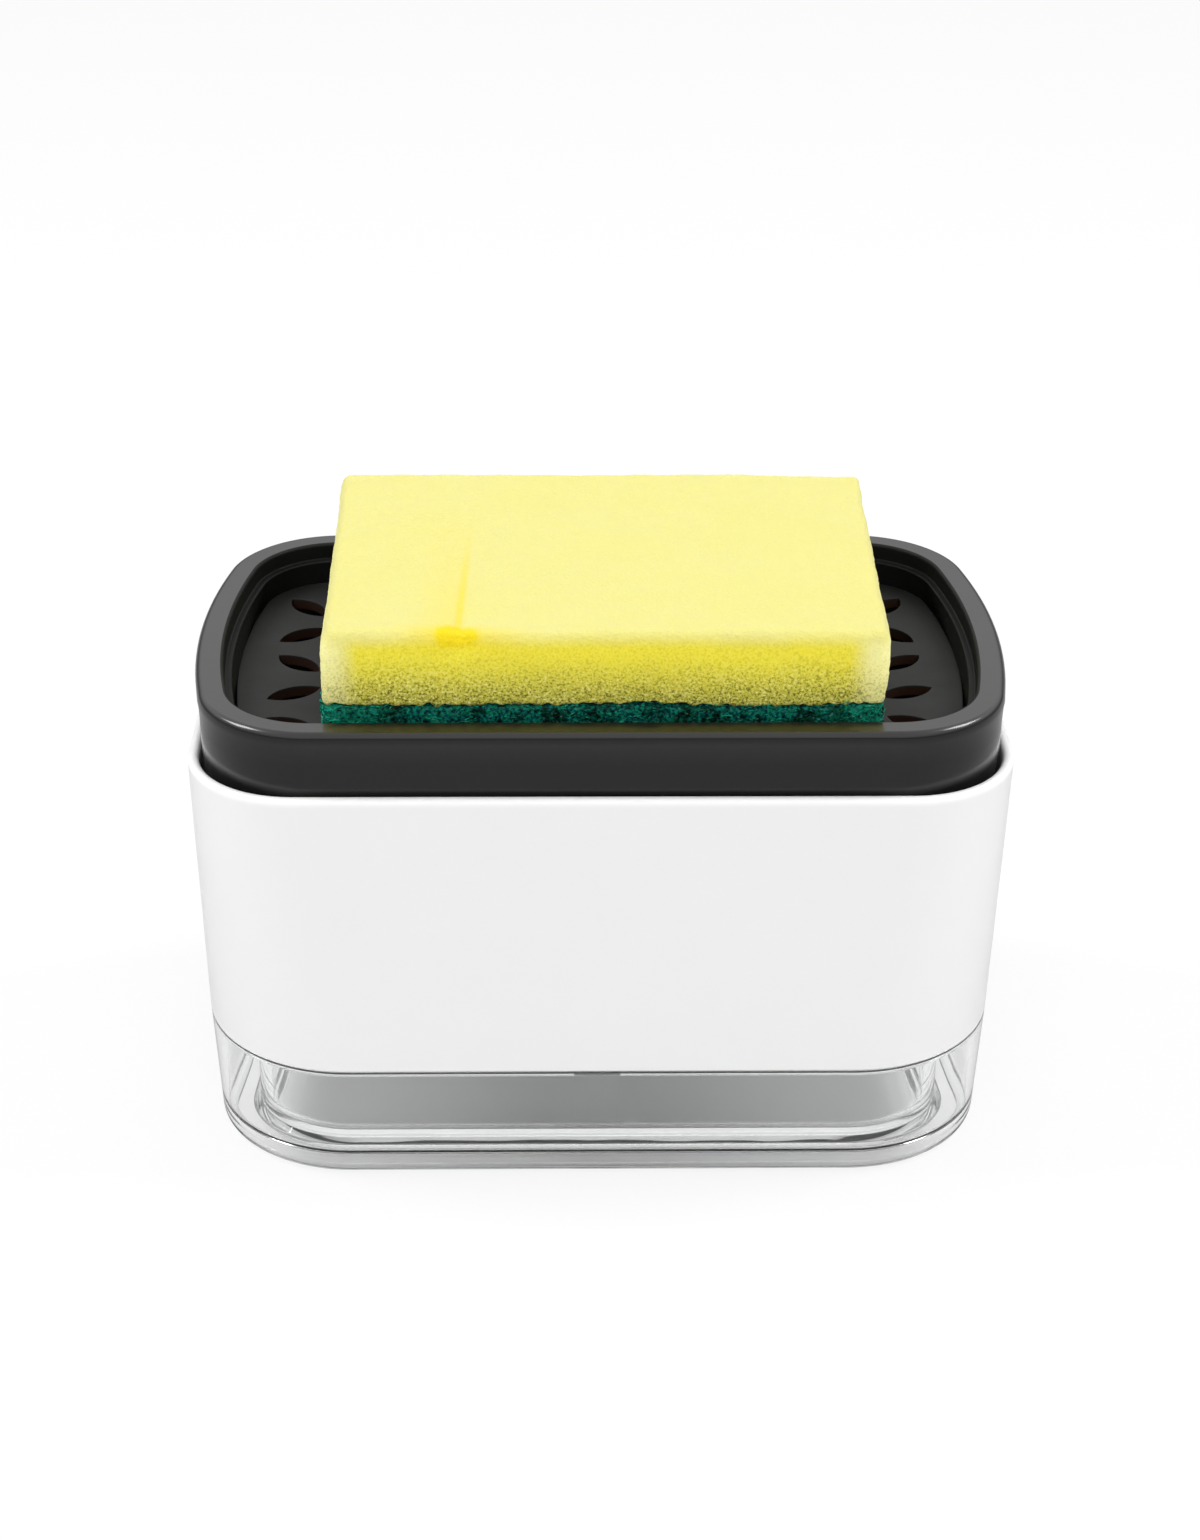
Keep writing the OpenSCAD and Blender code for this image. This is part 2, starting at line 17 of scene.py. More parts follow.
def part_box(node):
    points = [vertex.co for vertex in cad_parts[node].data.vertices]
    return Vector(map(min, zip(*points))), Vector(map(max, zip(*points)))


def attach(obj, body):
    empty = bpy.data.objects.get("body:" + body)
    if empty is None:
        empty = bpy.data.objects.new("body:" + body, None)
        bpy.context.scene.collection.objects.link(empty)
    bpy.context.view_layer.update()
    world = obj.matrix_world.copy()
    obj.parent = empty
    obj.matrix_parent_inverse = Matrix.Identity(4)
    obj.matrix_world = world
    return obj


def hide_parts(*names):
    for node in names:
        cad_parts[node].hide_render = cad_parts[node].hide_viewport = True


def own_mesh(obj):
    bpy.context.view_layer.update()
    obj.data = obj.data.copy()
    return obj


bl_info = {
    "name": "Soap Pump Caddy",
    "version": (1, 0, 0),
    "blender": (4, 5, 0),
    "location": "View3D > Sidebar > Caddy",
    "description": "Models the visible pieces of a soap pump caddy and gives every part its finish",
    "category": "Object",
}

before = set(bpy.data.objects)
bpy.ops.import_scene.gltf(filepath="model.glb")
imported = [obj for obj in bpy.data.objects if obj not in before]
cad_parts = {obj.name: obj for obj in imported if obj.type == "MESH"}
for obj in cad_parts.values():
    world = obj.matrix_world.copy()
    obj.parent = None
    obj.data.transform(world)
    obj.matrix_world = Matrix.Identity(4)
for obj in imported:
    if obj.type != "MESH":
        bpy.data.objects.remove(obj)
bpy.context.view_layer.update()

MM = 0.001
CORNER_STEPS = 32
SIDE_STEPS = 8
QUARTER_TURN = math.pi / 2
# Tilts of the end slots from front to back, in degrees, on the left and on the right
SLOT_TILTS = (-24, 28, -42, 35, -50), (-32, 22, 38, -44, 52)
# How far the crease in the foam drifts sideways for each metre towards the back
CREASE_LEAN = 0.025


def half_size(node):
    """Half the width and half the depth of a construction node."""
    low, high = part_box(node)
    return (high.x - low.x) / 2, (high.y - low.y) / 2


def length(label, about, millimetres):
    """A length that shows in the panel, with its default given in millimetres."""
    return FloatProperty(
        name=label, description=about, default=millimetres * MM, min=0.0, precision=5, unit="LENGTH"
    )


def turn(label, about, degrees):
    """An angle that shows in the panel, with its default given in degrees."""
    return FloatProperty(name=label, description=about, default=math.radians(degrees), unit="ROTATION")


def colour(label, about, default):
    """A colour that shows in the panel, in linear light."""
    return FloatVectorProperty(
        name=label, description=about, default=default, size=3, min=0.0, max=1.0, subtype="COLOR"
    )


class TankSizes(bpy.types.PropertyGroup):
    """Sizes of the clear tank"""

    corner_r: length("Corner radius", "Corner radius of the shoulder", 26)
    draft: length("Draft", "How far the base draws in at the counter", 1.15)
    foot_r: length("Foot edge", "Radius of the edge around the foot", 1.7)
    bead: length("Bead", "How far the beads at the lower edges stand into the groove", 1.4)
    bead_h: length("Bead height", "Height of the bead inside the foot", 3.6)
    groove_out: length("Groove, outside", "How far the groove under the base begins from the shoulder", 3.1)
    groove_in: length("Groove, inside", "How far the groove under the base ends from the shoulder", 8.6)
    web: length("Web", "Thickness of the web over the groove", 1.7)
    vessel: length("Vessel", "Thickness of the vessel's wall in the base", 2)
    lean: length("Lean", "How far the faces of the groove and of the vessel lean", 0.28)
    floor: length("Floor", "Thickness of the floor", 2.5)
    lift: length("Lift", "How far the floor stands clear of the counter", 1.2)
    cove_r: length("Cove", "Radius between the vessel's wall and the floor, inside", 3)
    inset: length("Neck inset", "How far the wall inside the sleeve stands in from the shoulder", 2.2)
    wall: length("Wall", "Thickness of the wall inside the sleeve", 2.5)
    edge_r: length("Edge", "Radius of the moulded edges", 0.4)


class SleeveSizes(bpy.types.PropertyGroup):
    """Sizes of the white sleeve"""

    top_r: length("Top corner radius", "Corner radius at the top edge", 18.8)
    wall: length("Wall", "Thickness of the wall", 1.9)
    edge_r: length("Edge", "Radius of the top edge, outside and inside", 0.9)
    foot_r: length("Foot edge", "Radius of the lower edge", 0.12)


class TraySizes(bpy.types.PropertyGroup):
    """Sizes of the dark press tray"""

    corner_r: length("Corner radius", "Corner radius of the skirt and the basin, at the rim's offset", 21.45)
    skirt_r: length("Skirt corner radius", "Corner radius of the skirt where it leaves the sleeve", 17.9)
    rim_r: length("Rim corner radius", "Corner radius of the rim", 20)
    rim_out: length("Rim swell", "How far the middle of the rim's ends swells past the skirt's line", 0.8)
    rim_bow: length("Rim bow", "Radius of the arcs along the rim's left and right ends", 140)
    rim_taper: length("Rim taper", "How much wider the rim is in front than behind, each side", 0.5)
    band: length("Band", "Width of the flat band around the rim", 5)
    edge_r: length("Outer edge", "Radius of the rim's outer edge", 1.2)
    inner_r: length("Inner edge", "Radius of the rim's inner edge", 0.6)
    ledge_drop: length("Ledge drop", "Drop from the rim to the ledge inside it", 3)
    ledge: length("Ledge", "Width of that ledge", 1.3)
    skirt_inset: length("Skirt inset", "How far the skirt stands in from the rim", 1.5)
    skirt: length("Skirt", "Thickness of the skirt", 2)
    flare_h: length("Flare", "Height over which the skirt flares out to the rim", 6.5)
    floor: length("Floor", "Thickness of the floor under the drain plate", 2)
    rib: length("Rib", "Width of the ribs between the drain windows", 2.6)
    window_gap: length("Window gap", "Distance from the middle to the drain windows", 10.65)
    socket_r: length("Socket", "Inner radius of the socket on the pump head", 6.65)
    small_r: length("Small edges", "Radius of the small moulded edges", 0.3)


class DrainSizes(bpy.types.PropertyGroup):
    """Sizes of the slotted drain plate"""

    gap: length("Gap", "Gap around the plate", 0.4)
    leaf: length("Slot", "Length of a slot, tip to tip", 10)
    leaf_w: length("Slot width", "Width of a slot at its middle", 4.6)
    pitch: length("Column pitch", "Distance from column to column", 11.4)
    edge: length("End columns", "Distance from the end columns to the inside of the tray", 10)
    row_edge: length("End rows", "Distance from the end rows to the inside of the tray", 12.3)
    edge_r: length("Edge", "Radius of the slot edges", 0.22)
    hole_r: length("Nozzle holes", "Radius of the holes in the nozzle cap", 0.7)
    ring_r: length("Nozzle ring", "Radius of the ring of holes in the nozzle cap", 3.4)


class SpongeSizes(bpy.types.PropertyGroup):
    """Sizes of the sponge"""

    corner_r: length("Corner radius", "Radius of the upright edges", 1.8)
    top_r: length("Top edge", "Radius of the edges of the top", 2.2)
    foot_r: length("Lower edge", "Radius of the edges against the scouring pad", 0.6)
    bulge: length("Bulge", "How far the sides swell at mid height", 0.5)
    cell: length("Cell", "Size of a foam cell", 1.05)
    cell_depth: length("Cell depth", "Depth of the cells cut open on the faces", 0.24)
    square: length("Square", "Size of the squares that the foam's skin is divided into", 0.5)
    crease_depth: length("Crease", "Depth of the crease across the top", 0.55)
    dent_depth: length("Dent", "Depth of the dent where the crease meets the front edge", 0.9)
    fibre_w: length("Fibre", "Thickness of a scouring fibre", 0.28)
    fibre_l: length("Fibre length", "Length of a scouring fibre", 5)
    fibres: IntProperty(name="Fibres", description="Loose fibres around the pad", default=2600, min=0)


class SpringSizes(bpy.types.PropertyGroup):
    """Sizes of the return spring"""

    wire: length("Wire", "Thickness of the wire", 0.9)
    turns: IntProperty(name="Turns", description="Number of turns", default=6, min=2)
    travel: length("Travel", "How far the pump goes down", 7)


class Colours(bpy.types.PropertyGroup):
    """Colours of the finishes"""

    sleeve: colour("Sleeve", "Satin white of the sleeve", (0.84, 0.84, 0.84))
    tray: colour("Tray", "Charcoal of the press tray", (0.0075, 0.0075, 0.0075))
    plate: colour("Plate", "Charcoal of the drain plate", (0.016, 0.016, 0.016))
    deck: colour("Deck", "Grey of the deck", (0.05, 0.05, 0.052))
    pump: colour("Pump", "Natural white of the pump parts", (0.72, 0.72, 0.68))
    seal: colour("Seal", "Grey of the soft seals", (0.28, 0.3, 0.31))
    piston: colour("Piston", "Black of the piston seal", (0.012, 0.012, 0.012))
    steel: colour("Steel", "Steel of the spring and the balls", (0.62, 0.62, 0.64))
    # The foam's top and sides are lit and shaded copies of one yellow: painted light on the top and painted
    # shade on the sides. The olive low down by the pad is partly the foam's own colour and partly painted
    # shade.
    foam_lit_top: colour("Foam, top", "Pale yellow of the foam's top", (0.74, 0.69, 0.235))
    foam_shaded_side: colour("Foam, side", "Deep yellow of the foam's sides", (0.87, 0.76, 0.05))
    foam_low: colour("Foam, low", "Olive yellow of the cells above the pad", (0.52, 0.5, 0.075))
    scourer: colour("Scourer", "Dark green of the pad", (0.0, 0.045, 0.028))
    fibre: colour("Fibre", "Lighter green of its fibres", (0.012, 0.42, 0.25))


class Camera(bpy.types.PropertyGroup):
    """Where the photograph was taken from"""

    place: FloatVectorProperty(
        name="Place", description="The camera's place", default=(-0.00923, -0.4604, 0.2937), unit="LENGTH"
    )
    tilt: turn("Tilt", "Angle below the horizon", 28.18)
    swing: turn("Swing", "Angle to the right", 1.149)
    roll: turn("Roll", "Angle about the view", 0.411)
    lens: FloatProperty(name="Lens", description="Focal length on a 36 mm frame", default=67.17, min=1.0)
    shift: FloatVectorProperty(name="Shift", description="Frame shift", default=(0.0012, 0.0357), size=2)


class Caddy(bpy.types.PropertyGroup):
    """Everything that a user would change"""

    tank: PointerProperty(type=TankSizes)
    sleeve: PointerProperty(type=SleeveSizes)
    tray: PointerProperty(type=TraySizes)
    drain: PointerProperty(type=DrainSizes)
    sponge: PointerProperty(type=SpongeSizes)
    spring: PointerProperty(type=SpringSizes)
    colours: PointerProperty(type=Colours)
    camera: PointerProperty(type=Camera)


class Signal:
    """A socket of a material's nodes. Sums on it add Math nodes."""

    def __init__(self, tree, socket=None):
        self.tree = tree
        self.socket = socket

    def node(self, kind, settings=None, sockets=None, out=0):
        """Adds a node, sets it up, fills or links its inputs, and returns one of its outputs."""
        made = self.tree.nodes.new(kind)
        for name, value in (settings or {}).items():
            setattr(made, name, value)
        for key, value in (sockets or {}).items():
            if isinstance(value, Signal):
                self.tree.links.new(value.socket, made.inputs[key])
            else:
                made.inputs[key].default_value = value
        return Signal(self.tree, made.outputs[out])

    def maths(self, operation, first, second=0.0):
        return self.node("ShaderNodeMath", {"operation": operation}, {0: first, 1: second})

    def __add__(self, other):
        return self.maths("ADD", self, other)

    __radd__ = __add__

    def __sub__(self, other):
        return self.maths("SUBTRACT", self, other)

    def __rsub__(self, other):
        return self.maths("SUBTRACT", other, self)

    def __mul__(self, other):
        return self.maths("MULTIPLY", self, other)

    __rmul__ = __mul__

    def __abs__(self):
        return self.maths("ABSOLUTE", self)

    def rising(self, start, end):
        """0 up to start, 1 past end, and smooth between them. It falls where start is past end."""
        if start > end:
            return 1.0 - self.rising(end, start)
        sockets = {0: self, 1: start, 2: end, 3: 0.0, 4: 1.0}
        return self.node("ShaderNodeMapRange", {"interpolation_type": "SMOOTHSTEP"}, sockets)

    def mix(self, first, second):
        """The first colour where this is 0 and the second where it is 1."""
        colours = [value if isinstance(value, Signal) else (*value, 1.0) for value in (first, second)]
        sockets = {0: self, 6: colours[0], 7: colours[1]}
        return self.node("ShaderNodeMix", {"data_type": "RGBA"}, sockets, out=2)

    def axis(self, letter):
        """One coordinate of a place."""
        return self.node("ShaderNodeSeparateXYZ", sockets={0: self}, out=letter)

    def grain(self, size, detail=2.0, roughness=0.5):
        """Soft noise whose patches are about this size."""
        sockets = {"Vector": self, "Scale": 1 / size, "Detail": detail, "Roughness": roughness}
        return self.node("ShaderNodeTexNoise", sockets=sockets)

    def cells(self, size, feature="F1"):
        """Distance to the middle or the walls of cells of this size."""
        sockets = {"Vector": self, "Scale": 1 / size}
        return self.node("ShaderNodeTexVoronoi", {"feature": feature}, sockets, out="Distance")

    def bump(self, depth, strength=1.0):
        """A normal for a relief of this depth."""
        return self.node("ShaderNodeBump", sockets={"Height": self, "Distance": depth, "Strength": strength})


def new_material(name, fixed):
    """A material with a Principled shader: the shader's inputs, and the piece's own coordinates."""
    material = bpy.data.materials.new(name)
    material.use_nodes = True
    shader = material.node_tree.nodes["Principled BSDF"]
    for socket, value in fixed.items():
        shader.inputs[socket].default_value = value
    place = Signal(material.node_tree).node("ShaderNodeTexCoord", out="Object")
    return material, shader, place


def times(base, factor):
    """A colour made darker or paler by a factor."""
    return [value * factor for value in base]


def feed(shader, **signals):
    """Links signals to the shader's inputs, whose names are written with _ for a space."""
    for name, signal in signals.items():
        signal.tree.links.new(signal.socket, shader.inputs[name.replace("_", " ")])


def clear_plastic():
    """Polished clear plastic with the faint flow waves of a thick moulding."""
    material, shader, place = new_material(
        "clear_plastic", {"Transmission Weight": 1.0, "IOR": 1.49, "Base Color": (0.985, 0.99, 0.99, 1)}
    )
    waves = place.grain(14 * MM, 1.0)
    feed(shader, Normal=waves.bump(0.12 * MM, 0.35), Roughness=0.004 + 0.012 * place.grain(9 * MM))
    return material


def moulded_plastic(name, base, roughness, ior=1.46, relief=0.012, patchy=0.05, layer=None):
    """Moulded plastic: a fine skin texture, and a finish that varies a little from place to place.
    A layer (start, end, colour) changes its colour from one height to another; the sleeve's lip gets its
    painted highlight and the drain plate's slots their painted reflection that way."""
    material, shader, place = new_material(name, {"IOR": ior})
    patches = place.grain(22 * MM, 3.0)
    skin = place.grain(0.9 * MM, 2.0)
    pale = [min(1.0, value) for value in times(base, 1 + patchy)]
    shade = patches.mix(times(base, 1 - patchy), pale)
    if layer:
        shade = place.axis("Z").rising(*layer[:2]).mix(shade, layer[2])
    feed(
        shader,
        Base_Color=shade,
        Roughness=roughness * (0.85 + 0.3 * place.grain(6 * MM, 3.0)),
        Normal=skin.bump(relief * MM),
    )
    return material


def tray_plastic(base, ledge_z):
    """Satin charcoal plastic, polished on the rim and the skirt and dull inside the basin."""
    fixed = {"IOR": 1.25, "Coat IOR": 1.5, "Coat Roughness": 0.15}
    material, shader, place = new_material("dark_plastic", fixed)
    normal = place.node("ShaderNodeTexCoord", out="Normal")
    across, along = (place.axis(letter) * normal.axis(letter) for letter in "XY")
    inward = (across + along).rising(0.0, -5 * MM)
    below = place.axis("Z").rising(ledge_z + 1 * MM, ledge_z + 0.4 * MM)
    on_ledge = normal.axis("Z").rising(0.5, 0.9) * below
    dull = inward.maths("MAXIMUM", inward, on_ledge)
    patches = place.grain(22 * MM, 3.0)
    feed(
        shader,
        Base_Color=patches.mix(times(base, 0.85), times(base, 1.15)),
        Roughness=0.3 + 0.25 * dull + 0.06 * place.grain(6 * MM, 3.0),
        Coat_Weight=1.0 - 0.92 * dull,
        Normal=place.grain(0.9 * MM).bump(0.006 * MM),
    )
    return material


def soft_rubber(name, base):
    """Matt rubber with a fine bloom."""
    material, shader, place = new_material(name, {"IOR": 1.5, "Specular IOR Level": 0.35})
    bloom = place.grain(3 * MM, 4.0)
    pale = [value * 1.35 + 0.01 for value in base]
    feed(shader, Base_Color=bloom.mix(base, pale), Roughness=0.55 + 0.2 * bloom, Normal=bloom.bump(0.02 * MM))
    return material


def drawn_steel(name, base, roughness):
    """Steel with the fine lines of drawing or grinding."""
    material, shader, place = new_material(name, {"Metallic": 1.0})
    lines = place.grain(0.5 * MM, 4.0)
    shade = lines.mix(times(base, 0.8), base)
    feed(shader, Base_Color=shade, Roughness=roughness * (0.7 + 0.6 * lines))
    return material


def open_foam(colours, low, high, half, crease_x, front_y):
    """Open-cell foam: painted light makes the top pale and the upright ends paler, the sides are deeper
    yellow and darker towards the pad, partly painted shade; the crease gets painted shade, and the cells get
    painted shade that grows towards the pad and painted highlights.
    """
    material, shader, place = new_material(
        "yellow_foam",
        {
            "Subsurface Weight": 0.25,
            "Subsurface Radius": (1.0, 0.85, 0.3),
            "Subsurface Scale": 2.5 * MM,
            "Specular IOR Level": 0.15,
            "Sheen Weight": 0.1,
            "Sheen Roughness": 0.6,
        },
    )
    # Painted shade in the crease, painted light at the upright ends, a patch colour that varies at random,
    # and painted shade and painted highlights in the open cells
    crease_shade_yellow, lit_edge_yellow, patch_yellow = (0.82, 0.64, 0.003), (0.97, 0.93, 0.42), (0.75, 0.68, 0.12)
    shaded_cell, lit_cell = (0.12, 0.12, 0.015), (0.95, 0.9, 0.34)
    x, y, z = (place.axis(letter) for letter in "XYZ")
    walls = place.cells(0.8 * MM, "DISTANCE_TO_EDGE").rising(0.0, 0.4)
    patches = place.grain(12 * MM, 3.0)
    sand = place.grain(0.42 * MM, 2.0, 0.7)
    # 0 on the top face and 1 where a side begins: it sets the painted light of the top against the sides
    depth = (high.z - z + 1.2 * MM * (patches - 0.5)).rising(0.3 * MM, 3.2 * MM)
    # 0 at the top of a side and 1 at the pad: the sides darken along it, partly the foam's own olive and
    #                                          partly painted shade
    fall = (high.z - z + 4 * MM * (patches - 0.5)).rising(3.5 * MM, high.z - low.z)
    # 1 at the upright edges, which light shines through: painted light makes them paler
    ends = (abs(x) + 1.5 * MM * (patches - 0.5)).rising(half[0] - 7 * MM, half[0] - 2 * MM)
    # The crease leans a little. Painted shade: the crease, the foam to the left of it, and a spot and a broad
    # patch where it meets the front are painted deeper yellow
    course = x - CREASE_LEAN * y - crease_x
    top = 1.0 - depth
    crease = abs(course + 0.5 * MM * (patches - 0.5)).rising(1 * MM, 0.1 * MM)
    crease = crease * y.rising(12 * MM, -24 * MM)
    shadow = course.rising(-11 * MM, -0.5 * MM) * course.rising(0.9 * MM, 0.1 * MM)
    shadow = shadow * y.rising(26 * MM, -34 * MM)
    spot = abs(course).rising(4.5 * MM, 0.8 * MM) * (high.z - z).rising(3.8 * MM, 1.2 * MM)
    wide = abs(course - 0.5 * MM).rising(15 * MM, 1 * MM) * (high.z - z).rising(5 * MM, 1.5 * MM)
    front = y.rising(front_y + 5 * MM, front_y + 1.5 * MM)
    # Painted light and shade: the top paler than the sides, the sides darker towards the pad, partly painted
    # shade, and the upright ends back towards the top's colour
    side = (0.8 * fall).mix(colours.foam_shaded_side, colours.foam_low)
    shade = (depth * (1.0 - 0.9 * ends * (1.0 - 0.4 * fall))).mix(colours.foam_lit_top, side)
    deep = top * (0.5 * crease + 0.26 * shadow) + front * (1.3 * spot + 0.45 * wide)
    shade = deep.mix(shade, crease_shade_yellow)
    # Painted light: the upright ends paler still
    shade = (0.75 * ends * depth * (1.0 - 0.3 * fall)).mix(shade, lit_edge_yellow)
    shade = (0.12 * top * patches.rising(0.4, 0.65)).mix(shade, patch_yellow)
    # Painted shade in the open cells, growing towards the pad, and painted highlights on them
    speckle = depth * (0.16 + 0.84 * fall)
    shade = (speckle * sand.rising(0.5, 0.36) * (1.0 - 0.5 * ends)).mix(shade, shaded_cell)
    shade = (speckle * sand.rising(0.54, 0.68)).mix(shade, lit_cell)
    feed(
        shader,
        Base_Color=shade,
        Roughness=0.85 + 0.1 * place.grain(1.5 * MM),
        Normal=(walls + 0.5 * sand).bump(0.3 * MM, 0.3),
    )
    return material


def scouring_fibre(name, base, pale, glints):
    """Coarse non-woven fibre in uneven dark greens, with painted shade between the strands, painted light
    towards the left and right ends and painted glints in small spots.
    """
    shadow_green, glint_green = (0.0, 0.005, 0.003), (0.25, 0.62, 0.5)
    material, shader, place = new_material(name, {"Specular IOR Level": 0.15})
    patches = place.grain(5 * MM, 3.0)
    strands = place.grain(0.6 * MM, 3.0, 0.65)
    # Painted light: paler towards the left and right ends, with less painted shade there
    half = abs(place.axis("X")).rising(30 * MM, 46 * MM)
    teal = [base[0], base[1] * 0.75, base[2] * 1.35]
    body = patches.rising(0.42, 0.58).mix(times(base, 0.3), times(teal, 2.0))
    pale_share = strands.rising(0.45, 0.58) * (0.3 + 0.7 * patches.rising(0.38, 0.58)) + 0.35 * half
    shade = pale_share.mix(body, pale)
    # Painted shade in the hollows and between the strands
    gaps = place.grain(2.2 * MM, 3.0, 0.6).rising(0.47, 0.36) * (1.0 - half)
    shade = (0.8 * gaps + strands.rising(0.44, 0.34)).mix(shade, shadow_green)
    # Painted glints in small spots
    glint_spots = place.cells(1.1 * MM).rising(0.24, 0.12)
    shade = (glints * glint_spots).mix(shade, glint_green)
    feed(
        shader,
        Base_Color=shade,
        Roughness=0.45 + 0.3 * strands,
        Normal=place.grain(0.45 * MM, 4.0).bump(0.3 * MM, 0.8),
    )
    return material


def corner_ring(half, radius, height, bow=0.0):
    """Points around a rectangle with round corners, the same number at any size. With a bow, the left
    and right sides are arcs of that radius, and the corners meet them smoothly."""
    wide, deep = half
    reach = deep - radius
    if bow:
        lean = math.asin(reach / (bow - radius))
        centre = Vector((wide - bow + (bow - radius) * math.cos(lean), reach))
        turns = [lean * step / SIDE_STEPS for step in range(SIDE_STEPS)]
        quarter = [Vector((wide - bow + bow * math.cos(turn), bow * math.sin(turn))) for turn in turns]
    else:
        lean = 0.0
        centre = Vector((wide - radius, reach))
        quarter = [Vector((wide, reach * step / SIDE_STEPS)) for step in range(SIDE_STEPS)]
    for step in range(CORNER_STEPS + 1):
        angle = lean + (QUARTER_TURN - lean) * step / CORNER_STEPS
        quarter.append(centre + radius * Vector((math.cos(angle), math.sin(angle))))
    ring = []
    quarters = (1, 1, quarter), (-1, 1, quarter[::-1]), (-1, -1, quarter[1:]), (1, -1, quarter[:0:-1])
    for x, y, part in quarters:
        ring += [Vector((x * point.x, y * point.y, height)) for point in part]
    return ring


def moved_ring(half, radius, offset, height, bow=0.0):
    """The same ring, moved out by an offset."""
    return corner_ring([side + offset for side in half], radius + offset, height, bow and bow + offset)


def circle(radius, height, centre=(0.0, 0.0), steps=64):
    """Points around a circle."""
    x, y = centre
    turns = [math.tau * step / steps for step in range(steps)]
    return [Vector((x + radius * math.cos(turn), y + radius * math.sin(turn), height)) for turn in turns]


def filleted(corners, steps=6):
    """A profile with arcs for corners. Each corner is (offset, height, radius); radius 0 keeps it sharp."""
    points = []
    for index, (offset, height, radius) in enumerate(corners):
        here = Vector((offset, height))
        if not radius:
            points.append(here)
            continue
        back = (Vector(corners[index - 1][:2]) - here).normalized()
        ahead = (Vector(corners[(index + 1) % len(corners)][:2]) - here).normalized()
        half = back.angle(ahead) / 2
        middle = here + (back + ahead).normalized() * radius / math.sin(half)
        spoke = here + back * radius / math.tan(half) - middle
        sweep = math.pi - 2 * half
        side = math.copysign(1.0, back.x * ahead.y - back.y * ahead.x)
        for step in range(steps + 1):
            turn = Matrix.Rotation(-side * sweep * step / steps, 2)
            points.append(middle + turn @ spoke)
    return points


def add_object(name, data):
    """A new object in the scene."""
    made = bpy.data.objects.new(name, data)
    bpy.context.scene.collection.objects.link(made)
    return made


def finish_mesh(mesh, sharp_degrees=35, weld=0.0):
    """Outward faces, smooth shading and sharp edges. Points nearer than weld become one."""
    work = bmesh.new()
    work.from_mesh(mesh)
    if weld:
        bmesh.ops.remove_doubles(work, verts=work.verts, dist=weld)
    bmesh.ops.recalc_face_normals(work, faces=work.faces)
    work.to_mesh(mesh)
    work.free()
    mesh.shade_smooth()
    mesh.set_sharp_from_angle(angle=math.radians(sharp_degrees))
    return mesh


def new_mesh(name, points, faces, sharp_degrees=35):
    """A finished mesh of these points and faces."""
    mesh = bpy.data.meshes.new(name)
    mesh.from_pydata(points, [], faces)
    return finish_mesh(mesh, sharp_degrees)


def tube_faces(rings, count, first=0, closed=False):
    """Faces over a number of rings with this count of points, which meet end to end or have a flat cap
    at each end. The first ring begins at the point with the number first."""
    faces = []
    for index in range(rings if closed else rings - 1):
        low = first + index * count
        high = first + (index + 1) % rings * count
        for here in range(count):
            there = (here + 1) % count
            faces.append((low + here, low + there, high + there, high + here))
    if not closed:
        last = first + (rings - 1) * count
        faces.append(tuple(reversed(range(first, first + count))))
        faces.append(tuple(range(last, last + count)))
    return faces


def skin(name, rings, closed=False):
    """A mesh over rings of points."""
    points = [point for ring in rings for point in ring]
    return new_mesh(name, points, tube_faces(len(rings), len(rings[0]), closed=closed))


def pierced_plate(name, outline, holes, low, high, edge):
    """A flat plate with holes and softened edges, between two heights."""
    curve = bpy.data.curves.new(name, "CURVE")
    curve.dimensions = "2D"
    curve.fill_mode = "BOTH"
    curve.extrude = (high - low) / 2 - edge
    curve.bevel_depth = edge
    curve.bevel_resolution = 1
    curve.offset = -edge
    for loop in [outline] + [list(reversed(hole)) for hole in holes]:
        spline = curve.splines.new("POLY")
        spline.points.add(len(loop) - 1)
        for point, place in zip(spline.points, loop):
            point.co = (place.x, place.y, 0.0, 1.0)
        spline.use_cyclic_u = True
    shape = add_object(name, curve)
    bpy.context.view_layer.update()
    evaluated = shape.evaluated_get(bpy.context.evaluated_depsgraph_get())
    mesh = bpy.data.meshes.new_from_object(evaluated)
    bpy.data.objects.remove(shape)
    bpy.data.curves.remove(curve)
    mesh.name = name
    mesh.transform(Matrix.Translation((0, 0, (low + high) / 2)))
    return finish_mesh(mesh, weld=0.002 * MM)


def add_piece(mesh, body, material, stands_for=(), even_normals=True):
    """Puts a mesh in the scene as a piece that rides on a body."""
    piece = add_object(mesh.name, mesh)
    mesh.materials.clear()
    mesh.materials.append(material)
    if even_normals:
        piece.modifiers.new("Even normals", "WEIGHTED_NORMAL").keep_sharp = True
    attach(piece, body)
    if stands_for:
        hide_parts(*stands_for)
    return piece


def paint(material, *nodes):
    """Gives construction nodes a finish in place of their plain one."""
    for node in nodes:
        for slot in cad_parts[node].material_slots:
            slot.material = material


def leaf_outline(size, centre, tilt, steps=12):
    """A slot between two arcs, pointed at both ends."""
    radius = (size.leaf**2 + size.leaf_w**2) / (4 * size.leaf_w)
    reach = math.asin(size.leaf / 2 / radius)
    points = []
    for side in (1, -1):
        for step in range(steps):
            angle = side * QUARTER_TURN + reach * (2 * step / steps - 1)
            x = radius * math.cos(angle)
            y = radius * math.sin(angle) - side * (radius - size.leaf_w / 2)
            points.append(Matrix.Rotation(tilt, 3, "Z") @ Vector((x, y, 0)) + centre)
    return points


def basin_half(tray):
    """Half the width and depth inside the tray's basin."""
    return [side - tray.band - tray.ledge for side in half_size("press_tray")]


def bowed_half(tray):
    """Half the width and depth of the bowed rim."""
    wide, deep = half_size("press_tray")
    return wide + tray.rim_out, deep


